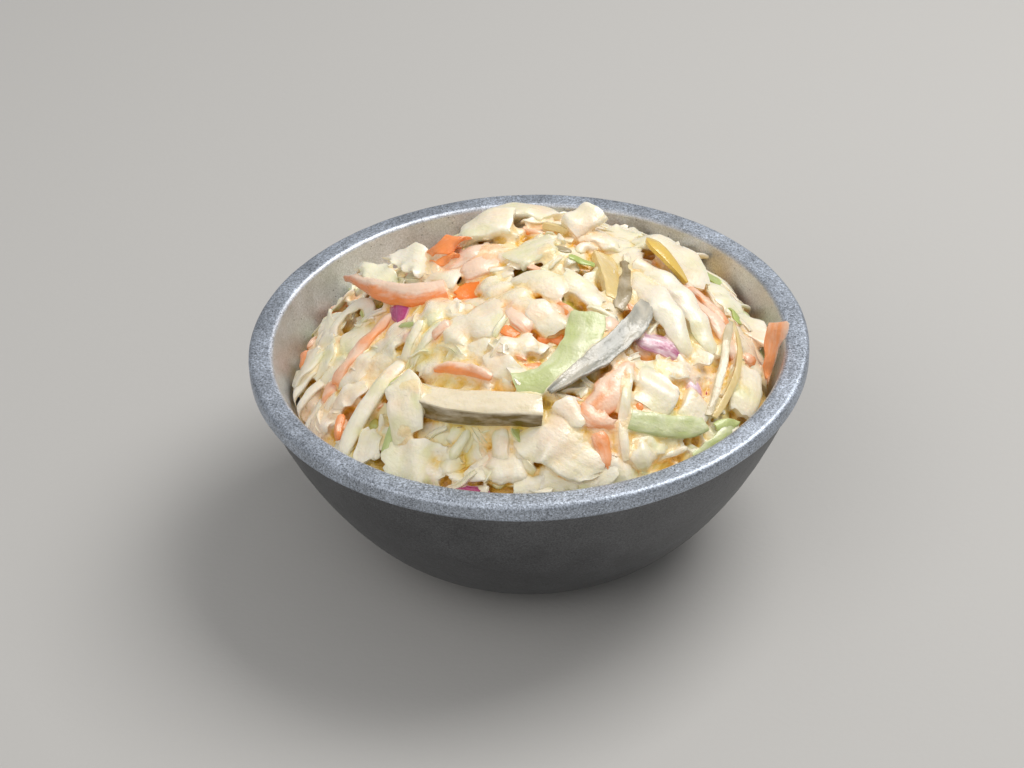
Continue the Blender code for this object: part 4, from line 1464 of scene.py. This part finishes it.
    def strewn(self, batch: Batch, taken: KDTree, finish: bpy.types.Material) -> Patch:
        """Strew a batch over the heap.

        Args:
            batch: The batch.
            taken: The points of what was laid one by one, seen from above.
            finish: The pieces' material.

        Returns:
            All its pieces as one patch.
        """
        collection = bpy.data.collections.new(batch.name)
        for index, cut in enumerate(batch.cuts):
            name = f"{batch.name}_{index:02d}"
            collection.objects.link(bpy.data.objects.new(name, cut.patch(index).mesh(name)))
        layer = self.layer(batch, taken)
        modifier = layer.modifiers.new("Strew", "NODES")
        modifier.node_group = self.strewing()
        set_inputs(modifier, {"Cuts": collection, "Spacing": batch.spacing * MM, "Tilt": math.radians(batch.tilt),
                              "Smallest": batch.smallest, "Largest": batch.largest, "Lots": self.lots,
                              "Seed": batch.seed, "Finish": finish})
        pieces = baked(layer, batch.name)
        patch = Patch.read(pieces.data)
        bpy.data.objects.remove(pieces)
        for template in list(collection.objects):
            bpy.data.objects.remove(template)
        bpy.data.collections.remove(collection)
        patch.points = self.inside(patch.points)
        return patch

    def build(self, finishes: dict[Kind, bpy.types.Material]) -> dict[Kind, Patch]:
        """Return all the pieces, one patch for each kind."""
        pieces = self.laid()
        everything = Patch.joined([patch for patches in pieces.values() for patch in patches]).points
        taken = KDTree(len(everything))
        for index, (x, y, _) in enumerate(everything):
            taken.insert((x, y, 0), index)
        taken.balance()
        for batch in batches():
            pieces[batch.kind].append(self.strewn(batch, taken, finishes[batch.kind]))
        return {kind: Patch.joined(patches) for kind, patches in pieces.items()}


@dataclass
class Field:
    """A box of evenly spaced places in and over the heap, for fields of distances."""

    voxel: float = 0.34
    reach: float = 56.0
    bottom: float = 33.0
    top: float = 69.0

    def __post_init__(self) -> None:
        """Lay out the grid."""
        side = math.ceil(self.reach / self.voxel)
        self.low = np.array([-side, -side, math.floor(self.bottom / self.voxel)])
        high = np.array([side, side, math.ceil(self.top / self.voxel)])
        self.shape = tuple(high - self.low + 1)
        self.corner = tuple(int(value) for value in self.low)
        self.transform = openvdb.createLinearTransform(voxelSize=self.voxel)

    def axis(self, index: int) -> np.ndarray:
        """Return the grid's places along one axis, shaped to spread over the other two."""
        places = (np.arange(self.shape[index]) + self.low[index]) * self.voxel
        shape = [1, 1, 1]
        shape[index] = -1
        return places.astype(np.float32).reshape(shape)

    def at(self, points: np.ndarray, values: np.ndarray) -> np.ndarray:
        """Return a field's values at the grid places nearest to some points."""
        cell = np.rint(points / self.voxel).astype(int) - self.low
        cell = np.clip(cell, 0, np.array(self.shape) - 1)
        return values[tuple(cell.T)]

    def blurred(self, values: np.ndarray, radius: float) -> np.ndarray:
        """Return a field averaged over boxes of a radius."""
        steps = max(1, round(radius / self.voxel))
        for index in range(3):
            pads = [(0, 0)] * 3
            pads[index] = (steps + 1, steps)
            total = np.cumsum(np.pad(values, pads, mode="edge"), axis=index, dtype=np.float64)
            count = self.shape[index]
            upper = np.take(total, np.arange(2 * steps + 1, 2 * steps + 1 + count), axis=index)
            lower = np.take(total, np.arange(count), axis=index)
            values = ((upper - lower) / (2 * steps + 1)).astype(np.float32)
        return values

    def mottle(self, size: float, seed: int) -> np.ndarray:
        """Return a smooth random field from -1 to 1 whose features are about so many millimetres."""
        draw = np.random.default_rng(seed)
        counts = [int(count * self.voxel / size) + 3 for count in self.shape]
        values = draw.uniform(-1, 1, counts).astype(np.float32)
        for index in range(3):
            places = np.arange(self.shape[index]) * self.voxel / size
            cell = places.astype(int)
            share = places - cell
            shape = [1, 1, 1]
            shape[index] = -1
            share = (share * share * (3 - 2 * share)).astype(np.float32).reshape(shape)
            values = np.take(values, cell, index) * (1 - share) + np.take(values, cell + 1, index) * share
        return values


@dataclass(frozen=True)
class Juice:
    """What a kind lends to the dressing over it: how thick it lies, and its tint."""

    coat: float
    tint: tuple
    strength: float = 0.5
    spread: float = 0.35


JUICES = {
    Kind.WHITE_CABBAGE: Juice(-0.19, srgb(250, 243, 224), 0.0),
    Kind.GREEN_CABBAGE: Juice(-0.30, srgb(214, 226, 170)),
    Kind.CARROT: Juice(-0.26, srgb(250, 178, 128), 0.6, 0.45),
    Kind.GHERKIN: Juice(-0.26, srgb(222, 214, 150)),
    Kind.RED_ONION: Juice(-0.26, srgb(226, 160, 196), 0.4, 0.25),
}


@dataclass
class DressingCoat:
    """The dressing: one skin drawn over every piece, from a field of distances to them."""

    bowl: CastBowl
    skin: HeapSkin
    field: Field
    band: int = 6
    meniscus: tuple[float, float] = (0.40, 1.20)
    core_depth: float = 3.2
    core_relief: float = 1.5
    into_wall: float = 0.15
    triangles: int = 190000
    island: int = 400

    def distance(self, points: np.ndarray, faces: np.ndarray) -> np.ndarray:
        """Return the distance from every grid place to a closed mesh, capped at the band."""
        grid = openvdb.FloatGrid.createLevelSetFromPolygons(
            points.astype(np.float32), quads=faces.astype(np.uint32), transform=self.field.transform,
            halfWidth=float(self.band))
        values = np.empty(self.field.shape, np.float32)
        grid.copyToArray(values, ijk=self.field.corner)
        return values

    def surface(self, values: np.ndarray) -> tuple[np.ndarray, np.ndarray]:
        """Return the points and faces where a field is zero."""
        grid = openvdb.FloatGrid()
        grid.background = self.band * self.field.voxel
        grid.transform = self.field.transform
        grid.copyFromArray(values, ijk=self.field.corner)
        points, _, quads = grid.convertToPolygons(isovalue=0.0, adaptivity=0.0)
        return points, quads

    def core(self) -> np.ndarray:
        """Return the distance to the smooth core under the pieces."""
        x, y = np.broadcast_arrays(self.field.axis(0)[:, :, 0], self.field.axis(1)[:, :, 0])
        top = self.skin.height(x, y) - self.core_depth + self.core_relief * self.field.mottle(7.0, 9)[:, :, 0]
        east, north = np.gradient(top, self.field.voxel)
        slope = np.sqrt(1 + east ** 2 + north ** 2)
        return ((self.field.axis(2) - top[:, :, None]) / slope[:, :, None]).astype(np.float32)

    def draw(self, patches: dict[Kind, Patch], lots: int) -> None:
        """Work out the field of the dressing's skin and of the hollows in it.

        Args:
            patches: The pieces of each kind.
            lots: How many lots the pieces of a kind are split into.
        """
        field, far = self.field, self.band * self.field.voxel
        solid = np.minimum(self.core(), far)
        coat = np.zeros(field.shape, np.float32)
        total = np.full(field.shape, 0.001, np.float32)
        self.near = {}
        for kind, patch in patches.items():
            near = np.full(field.shape, far, np.float32)
            lot = patch.lot[patch.faces[:, 0]]
            for index in range(lots):
                if (lot == index).any():
                    np.minimum(near, self.distance(patch.points, patch.faces[lot == index]), out=near)
            weight = np.exp(np.clip(-near / 0.25, -20, 4))
            coat += weight * JUICES[kind].coat
            total += weight
            np.minimum(solid, near, out=solid)
            self.near[kind] = near
        thin, thick = self.meniscus
        reach = (thin + thick) / 2 + (thick - thin) / 2 * field.mottle(6.0, 4)
        merged = self.distance(*self.surface(np.clip(solid - reach, -far, far))) + reach
        crown = np.exp(-((field.axis(0) + 8) ** 2 + (field.axis(1) + 6) ** 2) / 18 ** 2)
        merged -= coat / total + 0.30 * field.mottle(6.0, 5) + 0.07 * field.mottle(1.6, 6) + 0.2 * crown
        wall = np.hypot(field.axis(0), field.axis(1)) - self.bowl.inner_radius(field.axis(2)) - self.into_wall
        above = np.clip((field.axis(2) - self.bowl.height) / 3.0, 0, 1) * 7.0
        merged = np.maximum(merged, (wall - above).astype(np.float32))
        merged = np.maximum(merged, field.bottom + 0.5 - field.axis(2))
        self.merged = np.clip(merged, -far, far)
        # How much of the space round each place is filled: high in hollows, for the painted shade, and low on ridges,
        # for the painted highlight.
        filled = field.blurred(field.blurred((merged < 0.1).astype(np.float32), 1.6), 1.6)
        crease = field.blurred((merged < 0.05).astype(np.float32), 1.0)
        self.hollow = np.clip((filled - 0.52) / 0.30, 0, 1) + 0.5 * np.clip((crease - 0.58) / 0.25, 0, 1)
        self.hollow -= 0.5 * np.clip((0.45 - crease) / 0.2, 0, 1)

    def cavity(self, points: np.ndarray) -> np.ndarray:
        """Return how deep in a hollow each point lies, 0 to 1."""
        # Points sunk under the heap's skin count as deeper in a hollow, so they get more painted shade.
        sunk = self.skin.height(points[:, 0], points[:, 1]) - points[:, 2]
        return np.clip(self.field.at(points, self.hollow) * 0.8 + np.clip((sunk - 0.4) / 4.0, 0, 1) * 0.7, -0.5, 1)

    def build(self, finish: bpy.types.Material) -> bpy.types.Object:
        """Draw the skin as a mesh, drop its stray crumbs and thin it out.

        Args:
            finish: The dressing's material.

        Returns:
            The dressing.
        """
        points, quads = self.surface(self.merged)
        mesh = plain_mesh("dressing", points, quads[:, ::-1])
        mesh.materials.append(finish)
        mesh.attributes.new("cavity", "FLOAT", "POINT").data.foreach_set("value", self.cavity(points).astype(np.float32))
        mesh.attributes.new("juice", "FLOAT_COLOR", "POINT").data.foreach_set("color", self.juice(points).ravel())
        drawn_skin = linked("dressing", mesh)
        sift = drawn_skin.modifiers.new("Sift", "NODES")
        sift.node_group = self.sifting()
        set_inputs(sift, {"Fewest Faces": self.island, "Finish": finish})
        drawn_skin = baked(drawn_skin, "dressing")
        thin = drawn_skin.modifiers.new("Thin", "DECIMATE")
        thin.ratio = min(1.0, self.triangles / (2 * len(drawn_skin.data.polygons)))
        return baked(drawn_skin, "dressing")

    @staticmethod
    def sifting() -> bpy.types.NodeTree:
        """Return the Geometry Nodes tree that drops islands of only a few faces."""
        tree = bpy.data.node_groups.new("sifting", "GeometryNodeTree")
        bench = NodeBench(tree)
        declare(tree, (("Geometry", "Geometry"), ("Fewest Faces", "Int"), ("Finish", "Material")))
        given = bench.add("NodeGroupInput").outputs
        island = bench.add("GeometryNodeInputMeshIsland").outputs["Island Index"]
        faces = bench.add("GeometryNodeAccumulateField", {"Value": 1, "Group ID": island}, data_type="INT",
                          domain="FACE").outputs["Total"]
        crumb = bench.add("FunctionNodeCompare", {2: faces, 3: given["Fewest Faces"]}, data_type="INT",
                          operation="LESS_THAN").outputs[0]
        kept = bench.add("GeometryNodeDeleteGeometry", {"Geometry": given["Geometry"], "Selection": crumb},
                         domain="FACE").outputs[0]
        real = bench.add("GeometryNodeRealizeInstances", {0: kept}).outputs[0]
        finished = bench.add("GeometryNodeSetMaterial", {"Geometry": real, "Material": given["Finish"]}).outputs[0]
        bench.add("NodeGroupOutput", {0: finished})
        return tree

    def juice(self, points: np.ndarray) -> np.ndarray:
        """Return the tint that what lies under the dressing lends it, with its strength as alpha."""
        color = np.zeros((len(points), 4), np.float32)
        far = self.band * self.field.voxel * 0.95
        for kind, juice in JUICES.items():
            near = self.field.at(points, self.near[kind])
            share = juice.strength * np.exp(-np.maximum(near, 0) / juice.spread) * (near < far)
            share = share[:, None]
            color[:, :3] = color[:, :3] * (1 - share) + np.array(juice.tint[:3]) * share
            color[:, 3:] += (1 - color[:, 3:]) * share
        color[:, :3] /= np.maximum(color[:, 3:], 0.001)
        return color


@dataclass
class Core:
    """The solid heart of the heap, from the bowl's floor to a little under the pieces."""

    bowl: CastBowl
    skin: HeapSkin
    depth: float = 5.6
    into_wall: float = 0.15
    spokes: int = 96

    def build(self, finish: bpy.types.Material) -> bpy.types.Object:
        """Turn the core up the bowl's wall and close it with the heap's own shape.

        Args:
            finish: Its material.

        Returns:
            The core.
        """
        angles = np.arange(self.spokes) * FULL_TURN / self.spokes
        rings = []
        edge = self.bowl.inner_radius(np.array(self.bowl.height - 12.0))
        for reach in np.linspace(0.02, 1.0, 18):
            x, y = edge * reach * np.cos(angles), edge * reach * np.sin(angles)
            z = self.skin.height(x, y) - self.depth
            rings.append(np.stack([x, y, z], -1))
        last = rings[-1][:, 2]
        floor = self.bowl.floor_thickness - self.into_wall
        for share in np.linspace(0, 1, 16):
            z = last + (floor - last) * share
            radius = self.bowl.inner_radius(z) + self.into_wall
            rings.append(np.stack([radius * np.cos(angles), radius * np.sin(angles), z], -1))
        for reach in np.linspace(0.9, 0.02, 6):
            x, y = rings[17 + 16][:, 0] * reach, rings[17 + 16][:, 1] * reach
            rings.append(np.stack([x, y, np.full(self.spokes, floor)], -1))
        points = np.stack(rings).reshape(-1, 3)
        index = np.arange(len(points)).reshape(len(rings), self.spokes)
        following = np.roll(index, -1, axis=1)
        faces = np.stack([index[:-1], index[1:], following[1:], following[:-1]], -1).reshape(-1, 4)
        mesh = plain_mesh("heap_core", points, faces)
        closing = bmesh.new()
        closing.from_mesh(mesh)
        corners = list(closing.verts)
        for ring, centre in ((0, self.skin.height(np.zeros(1), np.zeros(1))[0] - self.depth), (len(rings) - 1, floor)):
            middle = closing.verts.new((0, 0, centre * MM))
            rim = [corners[number] for number in index[ring]]
            for first, second in zip(rim, rim[1:] + rim[:1]):
                closing.faces.new((middle, first, second))
        bmesh.ops.recalc_face_normals(closing, faces=closing.faces)
        closing.to_mesh(mesh)
        closing.free()
        mesh.shade_smooth()
        mesh.materials.append(finish)
        return linked("heap_core", mesh)


@dataclass
class Studio:
    """The floor, the lights and the camera."""

    rim: Vector
    lens: float = 100.0
    distance: float = 0.6097
    elevation: float = 33.9
    roll: float = 2.1
    aim: Vector = field(default_factory=lambda: Vector((-0.0038, -0.0055, 0.0388)))

    def build(self) -> None:
        """Make everything around the object."""
        self.floor()
        self.camera()
        self.light("key", Vector((0.36, 0.22, 0.68)), 0.46, 4.6, (1.0, 0.98, 0.95))
        self.light("fill", Vector((-0.35, -0.5, 0.6)), 0.8, 2.3, (1.0, 0.97, 0.93))
        bpy.context.scene.view_settings.view_transform = "Standard"
        world = bpy.data.worlds.new("studio")
        bpy.context.scene.world = world
        world.use_nodes = True
        world.node_tree.nodes["Background"].inputs["Color"].default_value = (0.92, 0.92, 0.92, 1.0)
        world.node_tree.nodes["Background"].inputs["Strength"].default_value = 0.40

    def floor(self) -> None:
        """Lay the floor."""
        mesh = bpy.data.meshes.new("stage_floor")
        half = 3.0
        mesh.from_pydata([(-half, -half, 0), (half, -half, 0), (half, half, 0), (-half, half, 0)], [], [(0, 1, 2, 3)])
        mesh.materials.append(StageFloor("stage_floor").make())
        floor = bpy.data.objects.new("stage_floor", mesh)
        bpy.context.scene.collection.objects.link(floor)

    def light(self, name: str, place: Vector, size: float, power: float, color: tuple) -> None:
        """Hang one square soft light that faces the bowl."""
        lamp = bpy.data.lights.new(name, "AREA")
        lamp.size = size
        lamp.energy = power
        lamp.color = color
        holder = bpy.data.objects.new(name, lamp)
        holder.location = place
        holder.rotation_euler = (place - self.rim).to_track_quat("Z", "Y").to_euler()
        bpy.context.scene.collection.objects.link(holder)

    def camera(self) -> None:
        """Place the camera: the rim's centre at its distance and elevation, aimed a little below it."""
        camera = bpy.data.cameras.new("camera")
        camera.lens = self.lens
        camera.sensor_width = 36.0
        holder = bpy.data.objects.new("camera", camera)
        tilt = math.radians(self.elevation)
        place = self.rim + self.distance * Vector((0, -math.cos(tilt), math.sin(tilt)))
        look = (self.aim - place).normalized()
        right = look.cross(Vector((0, 0, 1))).normalized()
        up = right.cross(look)
        roll = math.radians(self.roll)
        rolled_right = right * math.cos(roll) - up * math.sin(roll)
        rolled_up = up * math.cos(roll) + right * math.sin(roll)
        turn = Matrix((rolled_right, rolled_up, -look)).transposed().to_4x4()
        holder.matrix_world = Matrix.Translation(place) @ turn
        bpy.context.scene.collection.objects.link(holder)
        bpy.context.scene.camera = holder


def show(piece: bpy.types.Object, slot: str, *nodes: str) -> None:
    """Tie a finished piece to the frame.

    Args:
        piece: The piece.
        slot: Its material slot in the record; not used.
        nodes: The frame's nodes that it stands for.
    """
    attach(piece, BODY)
    if nodes:
        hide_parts(*nodes)
    log.info("%s: %d faces", piece.name, len(piece.data.polygons))


def main() -> None:
    """Build the bowl, the salad and its dressing, then the studio."""
    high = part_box("bowl")[1] / MM
    bowl = CastBowl(rim_radius=high.x, height=high.z)
    show(bowl.build(CastAluminium("cast_aluminium").make()), "cast_aluminium", "bowl")

    skin = HeapSkin(frame["nodes"]["coleslaw"])
    salad = Salad(bowl, skin)
    finishes = {kind: finish.make() for kind, finish in FINISHES.items()}
    patches = salad.build(finishes)
    coat = DressingCoat(bowl, skin, Field())
    coat.draw(patches, salad.lots)
    dressing = Dressing("dressing").make()
    show(Core(bowl, skin).build(dressing), "dressed_slaw", "coleslaw")
    show(coat.build(dressing), "dressing")
    for kind, patch in patches.items():
        mesh = patch.mesh(kind.value, coat.cavity(patch.points))
        mesh.materials.append(finishes[kind])
        show(linked(kind.value, mesh), kind.value)
    Studio(Vector((0, 0, high.z * MM))).build()


if __name__ == "__main__":
    main()
